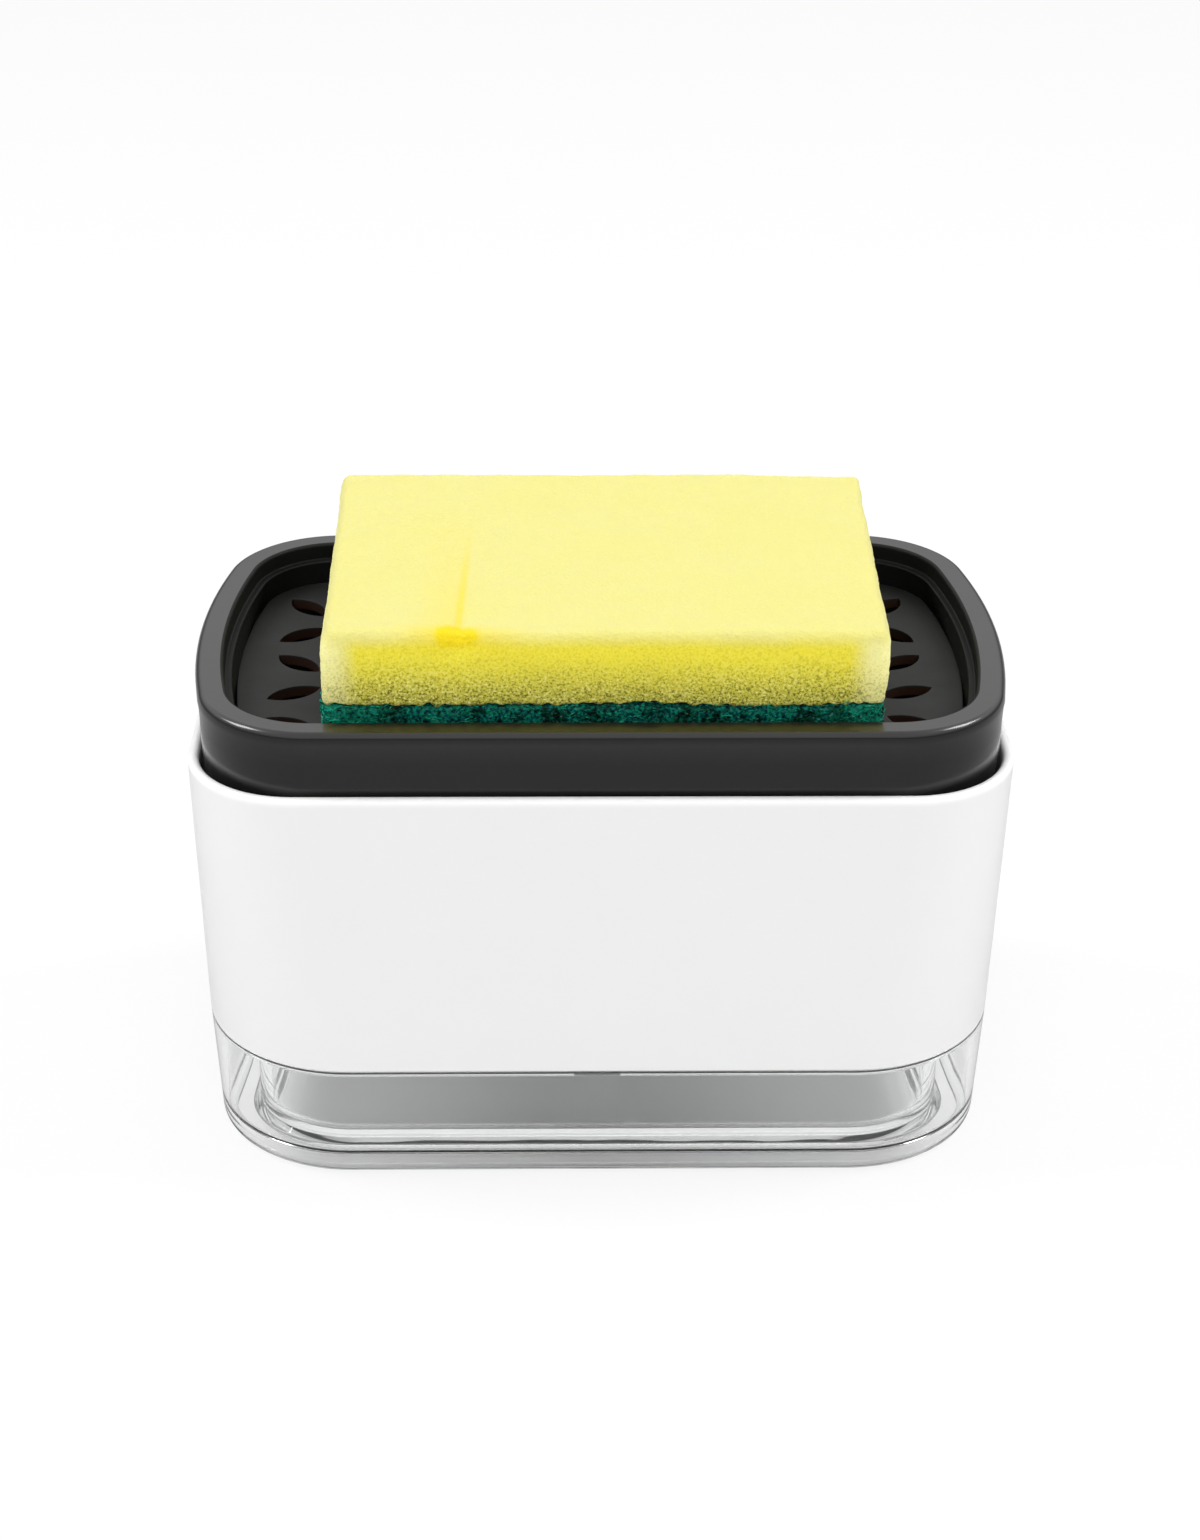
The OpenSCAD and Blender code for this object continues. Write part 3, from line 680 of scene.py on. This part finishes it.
def row_places(drain, tray):
    """Where the rows of slots lie, from front to back."""
    rows = len(SLOT_TILTS[0])
    end = basin_half(tray)[1] - drain.row_edge
    return [end * (2 * row / (rows - 1) - 1) for row in range(rows)]


class CADDY_OT_tank(bpy.types.Operator):
    """Model the clear tank with its thick base"""

    bl_idname = "caddy.tank"
    bl_label = "Tank"

    def execute(self, context):
        size = context.scene.caddy.tank
        half = half_size("tank")
        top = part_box("tank")[1].z
        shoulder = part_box("sleeve")[0].z
        outside, inside = -size.groove_out, -size.groove_in
        bead, edge, lean = size.bead, size.edge_r, size.lean
        inner = -size.inset - size.wall
        vessel = inside - size.vessel
        middle = vessel - 2 * size.cove_r
        web = shoulder - size.web
        floor = size.lift + size.floor
        profile = filleted(
            [
                (middle, size.lift, 0.0),
                (inside + bead, size.lift, bead),
                (inside + bead, size.lift + bead, bead / 2),
                (inside, size.lift + 2 * bead, 2 * edge),
                (inside + lean, web, 2 * edge),
                (outside - lean, web, 2 * edge),
                (outside, size.bead_h + bead / 2, 2 * edge),
                (outside - bead, size.bead_h - bead / 2, 2 * edge),
                (outside - bead, 0.0, bead),
                (-size.draft, 0.0, size.foot_r),
                (0.0, shoulder, edge / 4),
                (-size.inset, shoulder, 0.0),
                (-size.inset, top, edge),
                (inner, top, edge),
                (inner, shoulder, edge),
                (vessel + lean, shoulder, 3 * edge),
                (vessel, floor, size.cove_r),
                (middle, floor, 0.0),
            ],
            steps=10,
        )
        rings = [moved_ring(half, size.corner_r, point.x, point.y) for point in profile]
        add_piece(skin("tank_shell", rings), "reservoir", clear_plastic(), ["tank"])
        return {"FINISHED"}


class CADDY_OT_sleeve(bpy.types.Operator):
    """Model the white sleeve, wider and tighter in its corners at the top"""

    bl_idname = "caddy.sleeve"
    bl_label = "Sleeve"

    def execute(self, context):
        size = context.scene.caddy.sleeve
        low_r = context.scene.caddy.tank.corner_r
        low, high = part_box("sleeve")
        wide, narrow = half_size("sleeve"), half_size("tank")
        profile = filleted(
            [
                (0.0, low.z, size.foot_r),
                (0.0, high.z, size.edge_r),
                (-size.wall, high.z, size.edge_r),
                (-size.wall, low.z, size.foot_r),
            ]
        )
        rings = []
        for point in profile:
            rise = (point.y - low.z) / (high.z - low.z)
            half = [a + (b - a) * rise for a, b in zip(narrow, wide)]
            rings.append(moved_ring(half, low_r + (size.top_r - low_r) * rise, point.x, point.y))
        # Painted highlight: the lip is painted paler, as it catches more light than the faces
        lip = (high.z - 1.6 * MM, high.z - 0.4 * MM, (0.98, 0.98, 0.98))
        white = context.scene.caddy.colours.sleeve
        material = moulded_plastic("white_plastic", white, 0.38, relief=0.01, patchy=0.006, layer=lip)
        shell = skin("sleeve_shell", rings, closed=True)
        add_piece(shell, "reservoir", material, ["sleeve"])
        return {"FINISHED"}


class CADDY_OT_tray(bpy.types.Operator):
    """Model the press tray: its rim, basin and skirt, the floor with its drain windows, and the socket"""

    bl_idname = "caddy.tray"
    bl_label = "Press Tray"

    def execute(self, context):
        size = context.scene.caddy.tray
        drain = context.scene.caddy.drain
        half = half_size("press_tray")
        low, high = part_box("press_tray")
        plate_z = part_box("drain_plate")[0].z
        basin = -size.band - size.ledge
        seat = basin - size.ledge
        flare_top = high.z - size.edge_r
        flare_z = high.z - size.flare_h
        skirt_in = -size.skirt_inset - size.skirt
        floor_z = plate_z - size.floor

        def flare_share(height):
            """How far the skirt has flared out to the rim at a height, from 0 to 1."""
            return min(1.0, max(0.0, (height - flare_z) / (flare_top - flare_z))) ** flare_power

        flare_power = 1.6
        flare_steps = 10
        flare = []
        for step in range(flare_steps + 1):
            height = flare_z + (flare_top - flare_z) * step / flare_steps
            flare.append((-size.skirt_inset * (1 - flare_share(height)), height, 0.0))
        profile = filleted(
            [
                (skirt_in, low.z, size.small_r),
                (-size.skirt_inset, low.z, size.small_r),
                *flare[:-1],
                (0.0, high.z, size.edge_r),
                (-size.band, high.z, size.inner_r),
                (-size.band, high.z - size.ledge_drop, size.small_r),
                (basin, high.z - size.ledge_drop, size.small_r),
                (basin, plate_z, 0.0),
                (seat, plate_z, 0.0),
                (seat, floor_z, 0.0),
                (skirt_in, floor_z, size.small_r),
            ],
            steps=8,
        )
        rim_half = bowed_half(size)
        mouth_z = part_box("sleeve")[1].z
        rings = []
        for point in profile:
            # The skirt's corners get tighter upwards, as the sleeve's do
            climb = min(1.0, (point.y - low.z) / (mouth_z - low.z)) if point.x > basin else 0.0
            corner_r = size.corner_r + (size.skirt_r + size.skirt_inset - size.corner_r) * climb
            # The skirt is straight, and the rim and the basin inside it are bowed
            share = flare_share(point.y)
            if basin <= point.x <= -size.band and point.y >= plate_z:
                share = 1.0
            straight = moved_ring(half, corner_r, point.x, point.y)
            bowed = moved_ring(rim_half, size.rim_r, point.x, point.y, size.rim_bow)
            ring = [low_point.lerp(rim_point, share) for low_point, rim_point in zip(straight, bowed)]
            for place in ring:
                place.x *= 1 - share * size.rim_taper / half[0] * place.y / half[1]
            rings.append(ring)
        material = tray_plastic(context.scene.caddy.colours.tray, high.z - size.ledge_drop)
        add_piece(skin("tray_shell", rings, closed=True), "tray", material, ["press_tray"])
        rows = row_places(drain, size)
        window = (rows[1] - rows[0] - size.rib) / 2
        near = size.window_gap
        far = basin_half(size)[0] - drain.edge + drain.leaf / 2
        windows = []
        for side in (-1, 1):
            for row in rows:
                middle = Vector((side * (near + far) / 2, row, 0))
                box = [(1, -1), (1, 1), (-1, 1), (-1, -1)]
                windows.append([middle + Vector((x * (far - near) / 2, y * window, 0)) for x, y in box])
        outlet = circle(size.socket_r - size.skirt, 0, steps=48)
        outline = moved_ring(half, size.corner_r, seat + size.small_r, 0.0)
        floor = pierced_plate("tray_floor", outline, [*windows, outlet], floor_z, plate_z, size.small_r)
        add_piece(floor, "tray", material)
        socket_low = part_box("pump_head")[0].z
        outer = size.socket_r + size.skirt
        profile = filleted(
            [
                (size.socket_r, socket_low, size.small_r),
                (outer, socket_low, size.small_r),
                (outer, floor_z + size.small_r, 0.0),
                (size.socket_r, floor_z + size.small_r, 0.0),
            ]
        )
        socket = skin("tray_socket", [circle(point.x, point.y) for point in profile], closed=True)
        add_piece(socket, "tray", material)
        return {"FINISHED"}


class CADDY_OT_drain(bpy.types.Operator):
    """Model the slotted drain plate and the pierced nozzle cap in its middle"""

    bl_idname = "caddy.drain"
    bl_label = "Drain Plate"

    def execute(self, context):
        size = context.scene.caddy.drain
        tray = context.scene.caddy.tray
        low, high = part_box("drain_plate")
        cap_low, cap_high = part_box("nozzle_cap")
        cap_r = half_size("nozzle_cap")[0]
        first = basin_half(tray)[0] - size.edge
        columns = 3
        leaves = []
        for side, tilts in zip((-1, 1), SLOT_TILTS):
            for row, tilt in zip(row_places(size, tray), tilts):
                for column in range(columns):
                    swing = math.radians(tilt) * (-1) ** column
                    centre = Vector((side * (first - column * size.pitch), row, 0))
                    leaves.append(leaf_outline(size, centre, swing))
        offset = -tray.band - tray.ledge - size.gap
        outline = moved_ring(bowed_half(tray), tray.rim_r, offset, 0.0, tray.rim_bow)
        middle = circle(cap_r + size.gap, 0, steps=72)
        charcoal = context.scene.caddy.colours.plate
        # Painted reflection: the walls of the slots, below the top, are painted a warmer charcoal
        inside = (high.z - 0.15 * MM, high.z - 0.5 * MM, (0.026, 0.012, 0.008))
        material = moulded_plastic(
            "plate_plastic", charcoal, 0.5, ior=1.33, relief=0.008, patchy=0.15, layer=inside
        )
        plate = pierced_plate("drain_grate", outline, [*leaves, middle], low.z, high.z, size.edge_r)
        add_piece(plate, "tray", material, ["drain_plate"])
        seat_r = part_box("pump_head")[1].x
        outer = cap_r + 2 * size.gap
        profile = [(seat_r, low.z), (outer, low.z), (outer, cap_low.z), (seat_r, cap_low.z)]
        seat = skin("nozzle_seat", [circle(radius, height) for radius, height in profile], closed=True)
        add_piece(seat, "tray", material)
        centres = circle(size.ring_r, 0, steps=5)
        holes = [circle(size.hole_r, 0, centre[:2], steps=20) for centre in centres]
        disc = circle(cap_r, 0, steps=72)
        cap = pierced_plate("nozzle_disc", disc, holes, cap_low.z, cap_high.z, size.edge_r)
        add_piece(cap, "tray", material, ["nozzle_cap"])
        return {"FINISHED"}


class CADDY_OT_pump(bpy.types.Operator):
    """Give the deck, the seals and the parts of the pump their finishes"""

    bl_idname = "caddy.pump"
    bl_label = "Pump and Deck"

    def execute(self, context):
        colours = context.scene.caddy.colours
        milky = (0.8, 0.82, 0.82)
        barrel_parts = ("pump_barrel", "guide_bush", "ball_cage", "spring_cup", "stem")
        # Each plastic: its name, colour, roughness, relief and patchiness, and the nodes made of it
        plastics = (
            ("deck_plastic", colours.deck, 0.42, 0.02, 0.12, "deck"),
            ("pump_dark_plastic", colours.tray, 0.35, 0.012, 0.15, "lock_nut", "pump_head"),
            ("pump_plastic", colours.pump, 0.36, 0.015, 0.04, *barrel_parts),
            ("tube_plastic", milky, 0.25, 0.01, 0.03, "dip_tube"),
        )
        for name, base, roughness, relief, patchy, *nodes in plastics:
            paint(moulded_plastic(name, base, roughness, relief=relief, patchy=patchy), *nodes)
        paint(soft_rubber("seal_rubber", colours.seal), "mouth_seal", "pump_washer")
        paint(soft_rubber("piston_rubber", colours.piston), "piston_seal")
        paint(drawn_steel("ball_steel", colours.steel, 0.08), "inlet_ball", "outlet_ball")
        return {"FINISHED"}


class CADDY_OT_spring(bpy.types.Operator):
    """Model the return spring with its closed ends"""

    bl_idname = "caddy.spring"
    bl_label = "Return Spring"

    def execute(self, context):
        size = context.scene.caddy.spring
        low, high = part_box("return_spring")
        wire = size.wire / 2
        radius = half_size("return_spring")[0] - wire
        rings_a_turn = 32
        sides = 10
        rise = high.z - low.z - size.wire
        total = size.turns * rings_a_turn
        rings = []
        for index in range(total + 1):
            done = index / total
            # The first and last turns lie flatter than the rest
            climb = 0.85 * done + 0.15 * done * done * (3 - 2 * done)
            turn = math.tau * size.turns * done
            ring = []
            for side in range(sides):
                around = math.tau * side / sides
                reach = radius + wire * math.cos(around)
                height = low.z + wire + rise * climb + wire * math.sin(around)
                ring.append(Vector((reach * math.cos(turn), reach * math.sin(turn), height)))
            rings.append(ring)
        material = drawn_steel("spring_steel", context.scene.caddy.colours.steel, 0.28)
        coil = skin("spring_coil", rings)
        spring = add_piece(coil, "pump_deck", material, ["return_spring"], even_normals=False)
        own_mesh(spring)
        return {"FINISHED"}


def lattice(counts):
    """Places from 0 to 1 and faces of a box divided into squares on all six sides."""
    numbers, places, faces = {}, [], []

    def number(point):
        if point not in numbers:
            numbers[point] = len(places)
            places.append([value / count for value, count in zip(point, counts)])
        return numbers[point]

    for axis in range(3):
        first, second = (axis + 1) % 3, (axis + 2) % 3
        for level in (0, counts[axis]):
            for i in range(counts[first]):
                for j in range(counts[second]):
                    face = []
                    for di, dj in ((0, 0), (1, 0), (1, 1), (0, 1)):
                        point = [0, 0, 0]
                        point[axis] = level
                        point[first] = i + di
                        point[second] = j + dj
                        face.append(number(tuple(point)))
                    faces.append(face)
    return places, faces


def soft_block(name, low, high, radii, square, relief):
    """A block with round edges, whose skin is moved in or out by relief(place, normal). The radii are
    those of the upright edges, the top edges and the lower edges."""
    span = high - low
    counts = [max(4, round(side / square)) for side in span]
    upright, top, foot = radii
    inner_low = low + Vector((upright, upright, foot))
    inner_high = high - Vector((upright, upright, top))
    places, faces = lattice(counts)
    points = []
    for place in places:
        at = low + Vector([share * side for share, side in zip(place, span)])
        core = Vector([min(max(at[k], inner_low[k]), inner_high[k]) for k in range(3)])
        rim = (upright, upright, top if at.z > core.z else foot)
        out = Vector([(at[k] - core[k]) / rim[k] for k in range(3)])
        out *= max(abs(value) for value in out) / out.length
        normal = Vector([out[k] / rim[k] for k in range(3)]).normalized()
        skin_point = core + Vector([out[k] * rim[k] for k in range(3)])
        points.append(skin_point + normal * relief(skin_point, normal))
    return new_mesh(name, points, faces, sharp_degrees=180)


def smooth_step(value, start, end):
    """0 before start, 1 past end, and smooth between them."""
    t = min(1.0, max(0.0, (value - start) / (end - start)))
    return t * t * (3 - 2 * t)


class CADDY_OT_foam(bpy.types.Operator):
    """Model the yellow foam: swollen sides, soft edges, a crease across the top and its open cells"""

    bl_idname = "caddy.foam"
    bl_label = "Sponge Foam"

    def execute(self, context):
        size = context.scene.caddy.sponge
        low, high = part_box("sponge_foam")
        crease_x = -22.9 * MM
        crease_w = 0.9 * MM
        dent = Vector((crease_x, low.y, high.z - 1 * MM))
        dent_r = 3.2 * MM

        def relief(place, normal):
            sideways = 1 - abs(normal.z)
            height = (place.z - low.z) / (high.z - low.z)
            out = size.bulge * sideways * (4 * height * (1 - height) - 0.5)
            # Broad waves, small waves, and the cells that are cut open
            out += 0.5 * MM * noise.noise(place / (22 * MM))
            out += 0.14 * MM * noise.noise(place / (5 * MM))
            near, far = noise.voronoi(place / size.cell)[0][:2]
            open_cell = min(1.0, 1.6 * (far - near))
            out -= size.cell_depth * open_cell * (0.35 + 0.65 * sideways)
            run = smooth_step(place.y, 10 * MM, -30 * MM) * max(0.0, normal.z)
            course = place.x - CREASE_LEAN * place.y - crease_x
            out -= size.crease_depth * run * math.exp(-((course / crease_w) ** 2))
            out -= size.dent_depth * math.exp(-((place - dent).length_squared / dent_r**2))
            return out

        inset = Vector((0.3, 0.3, 0.1)) * MM
        radii = (size.corner_r, size.top_r, size.foot_r)
        half = half_size("sponge_foam")
        foot = low + Vector((inset.x, inset.y, 0))
        mesh = soft_block("foam_block", foot, high - inset, radii, size.square, relief)
        for vertex in mesh.vertices:
            # A little wider towards the back, most of all on the right
            across, along = vertex.co.x / half[0], vertex.co.y / half[1]
            swell = 0.5 + 0.8 * along + across * (0.7 + 0.3 * along)
            vertex.co.x += across * swell * MM * (vertex.co.z - low.z) / (high.z - low.z)
            vertex.co.x += 0.3 * MM * max(0.0, across)
            # The lower edge is torn where the pad is glued on
            near_pad = smooth_step(vertex.co.z, low.z + 2.5 * MM, low.z)
            vertex.co.z -= 0.8 * MM * near_pad * noise.noise(vertex.co / (1.4 * MM))
        material = open_foam(context.scene.caddy.colours, low, high, half, crease_x, low.y)
        foam = add_piece(mesh, "sponge", material, ["sponge_foam"], even_normals=False)
        return {"FINISHED"}


class CADDY_OT_scourer(bpy.types.Operator):
    """Model the green scouring pad and the loose fibres around its edge"""

    bl_idname = "caddy.scourer"
    bl_label = "Scouring Pad"

    def execute(self, context):
        size = context.scene.caddy.sponge
        colours = context.scene.caddy.colours
        low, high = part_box("scouring_pad")

        def relief(place, normal):
            out = 0.35 * MM * noise.noise(place / (1.1 * MM))
            return out + 0.3 * MM * noise.noise(place / (4 * MM)) * (1 - abs(normal.z))

        inset = Vector((0.6, 0.6, 0.35)) * MM
        radii = (size.corner_r, size.foot_r, size.foot_r)
        top = high - Vector((inset.x, inset.y, 0))
        mesh = soft_block("scouring_core", low + inset, top, radii, size.square, relief)
        core = scouring_fibre("scourer_core", colours.scourer, times(colours.fibre, 0.6), 0.15)
        pad = add_piece(mesh, "sponge", core, ["scouring_pad"], even_normals=False)
        strands = scouring_fibre("scourer_fibre", colours.scourer, colours.fibre, 0.35)
        fibres = self.fibre_mesh(size, low, high)
        add_piece(fibres, "sponge", strands, even_normals=False)
        return {"FINISHED"}

    def fibre_mesh(self, size, low, high):
        """Short curved fibres that lie on the pad's sides and stand a little proud."""
        draw = random.Random(11)
        sunk = 0.55 * MM
        half = [side - sunk for side in half_size("scouring_pad")]
        corner = size.corner_r
        straights = [2 * (half[1] - corner), 2 * (half[0] - corner)]
        arc = QUARTER_TURN * corner
        around = 2 * (sum(straights) + 2 * arc)

        def on_edge(way):
            """The place and outward direction at a distance along the pad's outline."""
            way %= around
            for turn in range(4):
                ahead, aside = half[turn % 2], half[(turn + 1) % 2]
                straight = straights[turn % 2]
                spin = Matrix.Rotation(QUARTER_TURN * turn, 3, "Z")
                if way < straight:
                    return spin @ Vector((ahead, way - straight / 2, 0)), spin @ Vector((1, 0, 0))
                way -= straight
                if way < arc:
                    out = Vector((math.cos(way / corner), math.sin(way / corner), 0))
                    return spin @ (Vector((ahead - corner, aside - corner, 0)) + out * corner), spin @ out
                way -= arc
            return Vector((half[0], -straights[0] / 2, 0)), Vector((1, 0, 0))

        rings, sides = 6, 3
        points, faces = [], []
        for _ in range(size.fibres):
            start = draw.uniform(0, around)
            height = draw.uniform(low.z + 0.5 * MM, high.z)
            slope = draw.gauss(0, 0.7)
            reach = size.fibre_l * draw.uniform(0.4, 1.0)
            bend = draw.uniform(-0.35, 0.35) * reach
            proud = draw.uniform(0.0, 0.42) * MM
            thick = size.fibre_w / 2 * draw.uniform(0.7, 1.15)
            stray = draw.choice((0.1, 0.3, 0.7)) * MM
            first = len(points)
            for ring in range(rings):
                t = ring / (rings - 1)
                arch = math.sin(math.pi * t)
                way = start + reach * math.cos(slope) * (t - 0.5)
                up = height + reach * math.sin(slope) * (t - 0.5) + bend * arch
                up = min(high.z + stray, max(low.z + 0.2 * MM, up))
                place, out = on_edge(way)
                middle = place + out * (proud * arch - 0.25 * MM * (1 - arch)) + Vector((0, 0, up))
                width = thick * (0.45 + 0.55 * arch)
                for side in range(sides):
                    spin = math.tau * side / sides
                    rise = Vector((0, 0, width * math.sin(spin)))
                    points.append(middle + out * width * math.cos(spin) + rise)
            faces += tube_faces(rings, sides, first)
        return new_mesh("scouring_fibres", points, faces, sharp_degrees=180)


def light_paths(start):
    """1 for rays straight from the camera, for mirrored rays, and for rays through clear plastic."""
    kinds = ("Camera", "Glossy", "Transmission")
    return [start.node("ShaderNodeLightPath", out=f"Is {kind} Ray") for kind in kinds]


class CADDY_OT_stage(bpy.types.Operator):
    """Set up the pale floor, the soft studio light and the photograph's camera"""

    bl_idname = "caddy.stage"
    bl_label = "Stage"

    def execute(self, context):
        self.floor()
        self.world(context.scene)
        # Each lamp: its name, place, width, height and power, and whether it shows in reflections
        lamps = (
            ("left_softbox", (-0.85, 0.1, 1.0), 0.45, 0.45, 7.5, True),
            ("right_softbox", (0.85, 0.1, 1.0), 0.45, 0.45, 7.5, True),
            ("front_softbox", (0.0, -1.2, 1.0), 1.4, 0.6, 8.0, False),
        )
        for name, place, width, height, power, mirrored in lamps:
            self.lamp(name, Vector(place), width, height, power, mirrored)
        self.camera(context.scene)
        context.scene.view_settings.view_transform = "Standard"
        # Enough for light to find its way out of the thick clear base
        context.scene.cycles.max_bounces = 24
        context.scene.cycles.glossy_bounces = 20
        context.scene.cycles.transmission_bounces = 20
        return {"FINISHED"}

    def floor(self):
        """A wide white counter that shows white to the camera and keeps the shadows."""
        reach = 3.0
        level = -0.2 * MM
        mesh = bpy.data.meshes.new("counter")
        corners = [(x * reach, y * reach, level) for x, y in ((-1, -1), (1, -1), (1, 1), (-1, 1))]
        mesh.from_pydata(corners, [], [(0, 1, 2, 3)])
        counter = add_object("counter", mesh)
        finish = {"Base Color": (0.92, 0.92, 0.92, 1), "Roughness": 0.7}
        material, shader, place = new_material("counter_white", finish)
        mesh.materials.append(material)
        direct, glossy, through = light_paths(place)
        # Greyer in the tray's reflections. Painted light: seen through the clear base, the counter glows more
        # towards the ends, where light comes in from the sides
        mirrored = glossy * (1.0 - through)
        grey = mirrored.mix((1, 1, 1), (0.35, 0.35, 0.35))
        glow = place.node("ShaderNodeEmission", sockets={"Color": grey})
        aside = abs(place.axis("X"))
        beyond = 0.12 + 0.16 * aside.rising(0.0, 50 * MM) + 0.45 * aside.rising(48 * MM, 66 * MM)
        lit = Signal(material.node_tree, shader.outputs[0])
        shares = 0.84 * direct + 0.9 * mirrored + beyond * through
        white = place.node("ShaderNodeMixShader", sockets={0: shares, 1: lit, 2: glow})
        output = material.node_tree.nodes["Material Output"]
        material.node_tree.links.new(white.socket, output.inputs["Surface"])

    def world(self, scene):
        """A surrounding that is white to the camera and greys towards the horizon elsewhere."""
        world = bpy.data.worlds.new("studio")
        world.use_nodes = True
        scene.world = world
        back = world.node_tree.nodes["Background"]
        back.inputs["Strength"].default_value = 1.0
        start = Signal(world.node_tree)
        direct, glossy, through = light_paths(start)
        height = start.node("ShaderNodeTexCoord", out="Generated").axis("Z")
        mirrored = 0.12 + 0.88 * height.rising(0.05, 0.55)
        beyond = 0.45 + 0.55 * height.rising(0.0, 0.4)
        level = 0.45 + glossy * (mirrored - 0.45) * (1.0 - through) + through * (beyond - 0.45)
        level = level + direct * (1.0 - level)
        feed(back, Color=level.mix((0, 0, 0), (1, 1, 1)))

    def lamp(self, name, place, width, height, power, mirrored):
        """A rectangular lamp that faces the caddy."""
        light = bpy.data.lights.new(name, "AREA")
        light.shape = "RECTANGLE"
        light.size = width
        light.size_y = height
        light.energy = power
        lamp = add_object(name, light)
        lamp.visible_glossy = mirrored
        aim = Vector((0, 0, 60 * MM)) - place
        lamp.matrix_world = Matrix.Translation(place) @ aim.to_track_quat("-Z", "Y").to_matrix().to_4x4()

    def camera(self, scene):
        """The camera, at the photograph's place and angle."""
        view = scene.caddy.camera
        data = bpy.data.cameras.new("camera")
        data.lens = view.lens
        data.sensor_width = 36
        data.shift_x, data.shift_y = view.shift
        data.clip_start = 0.01
        camera = add_object("camera", data)
        turn = Matrix.Rotation(-view.swing, 4, "Z") @ Matrix.Rotation(QUARTER_TURN - view.tilt, 4, "X")
        camera.matrix_world = Matrix.Translation(view.place) @ turn @ Matrix.Rotation(view.roll, 4, "Z")
        scene.camera = camera


OPERATORS = (
    CADDY_OT_tank, CADDY_OT_sleeve, CADDY_OT_tray, CADDY_OT_drain, CADDY_OT_pump,
    CADDY_OT_spring, CADDY_OT_foam, CADDY_OT_scourer, CADDY_OT_stage,
)


class CADDY_PT_panel(bpy.types.Panel):
    """Sizes, colours and pieces of the caddy"""

    bl_idname = "CADDY_PT_panel"
    bl_label = "Soap Pump Caddy"
    bl_space_type = "VIEW_3D"
    bl_region_type = "UI"
    bl_category = "Caddy"

    def draw(self, context):
        for operator in OPERATORS:
            self.layout.operator(operator.bl_idname)
        for group in Caddy.__annotations__:
            box = self.layout.box()
            box.label(text=group.title())
            values = getattr(context.scene.caddy, group)
            for name in values.__annotations__:
                box.prop(values, name)


GROUPS = (TankSizes, SleeveSizes, TraySizes, DrainSizes, SpongeSizes, SpringSizes, Colours, Camera)
CLASSES = (*GROUPS, Caddy, *OPERATORS, CADDY_PT_panel)


def register():
    for one in CLASSES:
        bpy.utils.register_class(one)
    bpy.types.Scene.caddy = PointerProperty(type=Caddy)


def unregister():
    del bpy.types.Scene.caddy
    for one in reversed(CLASSES):
        bpy.utils.unregister_class(one)


def main():
    """Builds every piece."""
    register()
    for operator in OPERATORS:
        getattr(bpy.ops.caddy, operator.bl_idname.split(".")[1])()


if __name__ == "__main__":
    main()
